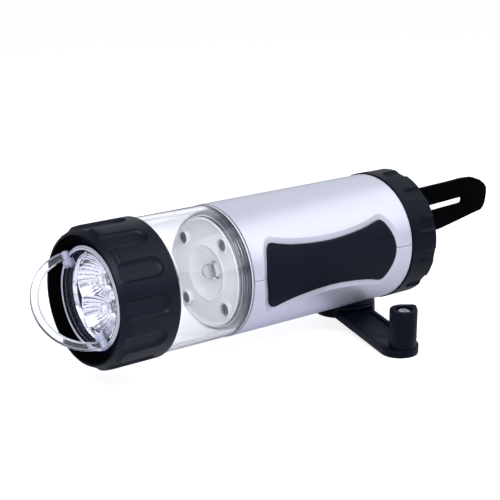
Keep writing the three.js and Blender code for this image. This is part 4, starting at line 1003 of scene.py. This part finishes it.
def studio():
    """Soft light from all round, dimmer than the white that the camera and clear plastics see."""
    world = bpy.data.worlds.new("studio")
    bpy.context.scene.world = world
    world.use_nodes = True
    nodes, links = world.node_tree.nodes, world.node_tree.links
    nodes.clear()
    coords = nodes.new("ShaderNodeTexCoord")
    split = nodes.new("ShaderNodeSeparateXYZ")
    links.new(coords.outputs["Generated"], split.inputs[0])

    def dome(strength, *stops):
        """A background whose colour changes with the height, from stops of (position, colour)."""
        ramp = nodes.new("ShaderNodeValToRGB")
        elements = ramp.color_ramp.elements
        for element, (position, colour) in zip(elements, (stops[0], stops[-1])):
            element.position, element.color = position, (*colour, 1)
        for position, colour in stops[1:-1]:
            elements.new(position).color = (*colour, 1)
        links.new(split.outputs["Z"], ramp.inputs["Fac"])
        shade = nodes.new("ShaderNodeBackground")
        shade.inputs["Strength"].default_value = strength
        links.new(ramp.outputs["Color"], shade.inputs["Color"])
        return shade.outputs[0]

    def choose(factor, a, b):
        return fed(nodes, links, "MixShader", factor, a, b)

    camera, direct, mirrored = seen_through(nodes, links)
    soft = dome(0.26, (0.0, (0.75, 0.77, 0.85)), (0.3, (0.85, 0.87, 0.95)), (1.0, (1.0, 1.0, 1.0)))
    through = dome(1.32, (0.0, (0.93, 0.94, 1.0)), (0.6, (0.93, 0.94, 1.0)), (1.0, (0.84, 0.85, 0.95)))
    mirror = dome(1.0, (0.0, (0.95, 0.96, 1.0)), (0.22, (0.9, 0.91, 1.0)), (0.34, (0.50, 0.51, 0.60)),
                  (0.5, (0.46, 0.47, 0.56)), (0.62, (0.9, 0.91, 1.0)), (0.78, (0.4, 0.41, 0.5)),
                  (1.0, (0.8, 0.8, 0.9)))
    white = dome(1.0, (0.0, (1, 1, 1)), (1.0, (1, 1, 1)))
    out = nodes.new("ShaderNodeOutputWorld")
    unseen = choose(direct, choose(mirrored, soft, mirror), through)
    links.new(choose(camera, unseen, white), out.inputs[0])


def floor():
    """A pale matt floor that glows just enough to be white to the camera and behind clear plastic."""
    corners = [(x * FLOOR_HALF, y * FLOOR_HALF, 0) for x, y in ((-1, -1), (1, -1), (1, 1), (-1, 1))]
    mesh = bpy.data.meshes.new("floor")
    mesh.from_pydata(corners, [], [(0, 1, 2, 3)])
    obj = placed("floor", mesh)
    material, nodes, links, shader = plain("pale floor")
    shader.inputs["Base Color"].default_value = (0.74, 0.74, 0.79, 1)
    shader.inputs["Roughness"].default_value = 0.9
    shader.inputs["Specular IOR Level"].default_value = 0.0
    glow = nodes.new("ShaderNodeEmission")
    tint = nodes.new("ShaderNodeValToRGB")
    tint.color_ramp.elements[0].color = 0.92, 0.93, 1, 1
    links.new(tint.outputs["Color"], glow.inputs["Color"])
    camera, direct, mirrored = seen_through(nodes, links)
    links.new(camera, tint.inputs["Fac"])
    either = fed(nodes, links, "Math", camera, direct, operation="MAXIMUM")
    level = fed(nodes, links, "Math", either, FLOOR_GLOW, operation="MULTIPLY")
    strength = fed(nodes, links, "Math", mirrored, MIRRORED_GLOW, level, operation="MULTIPLY_ADD")
    links.new(strength, glow.inputs["Strength"])
    both = fed(nodes, links, "AddShader", shader.outputs[0], glow.outputs[0])
    links.new(both, nodes["Material Output"].inputs[0])
    mesh.materials.append(material)


def softbox(name, place, target, size, glow, colour):
    """A flat light. Lengths are in millimetres, and glow is its brightness as seen."""
    data = bpy.data.lights.new(name, "AREA")
    data.shape, data.size, data.size_y = "RECTANGLE", size[0] * MM, size[1] * MM
    data.energy, data.color = glow * math.pi * data.size * data.size_y, colour
    lamp = placed(name, data)
    start, end = TORCH @ Vector(place), TORCH @ Vector(target)
    lamp.matrix_world = Matrix.Translation(start) @ (start - end).to_track_quat("Z", "Y").to_matrix().to_4x4()


def lights():
    softbox("key", (-200, -400, 460), (20, 0, 0), (700, 450), 3.3, (0.97, 0.98, 1.0))
    softbox("side", (487, -270, 363), (60, 0, 0), (800, 560), 0.95, (0.97, 0.98, 1.0))
    softbox("rear", (481, 323, 325), (60, 0, 0), (700, 450), 0.42, (0.93, 0.95, 1.0))
    softbox("front", (-620, -40, 160), (-40, 0, 0), (500, 420), 0.8, (0.95, 0.97, 1.0))


bpy.context.scene.view_settings.view_transform = "Standard"
photo_camera()
studio()
floor()
lights()
dress_cad_nodes()
shell("shell_top", "upper_shell", 1)
shell("shell_bottom", "lower_shell", -1)
grip("pad_near", "left_grip", -1)
grip("pad_far", "right_grip", 1)
head_ring()
tail_cap()
lantern_tube()
coupling()
dish()
screws()
lantern_cone()
lens()
lens_sleeve()
reflector()
diodes()
bail()
bush()
hub()
arm()
knob()
knob_screw()
hang_loop()
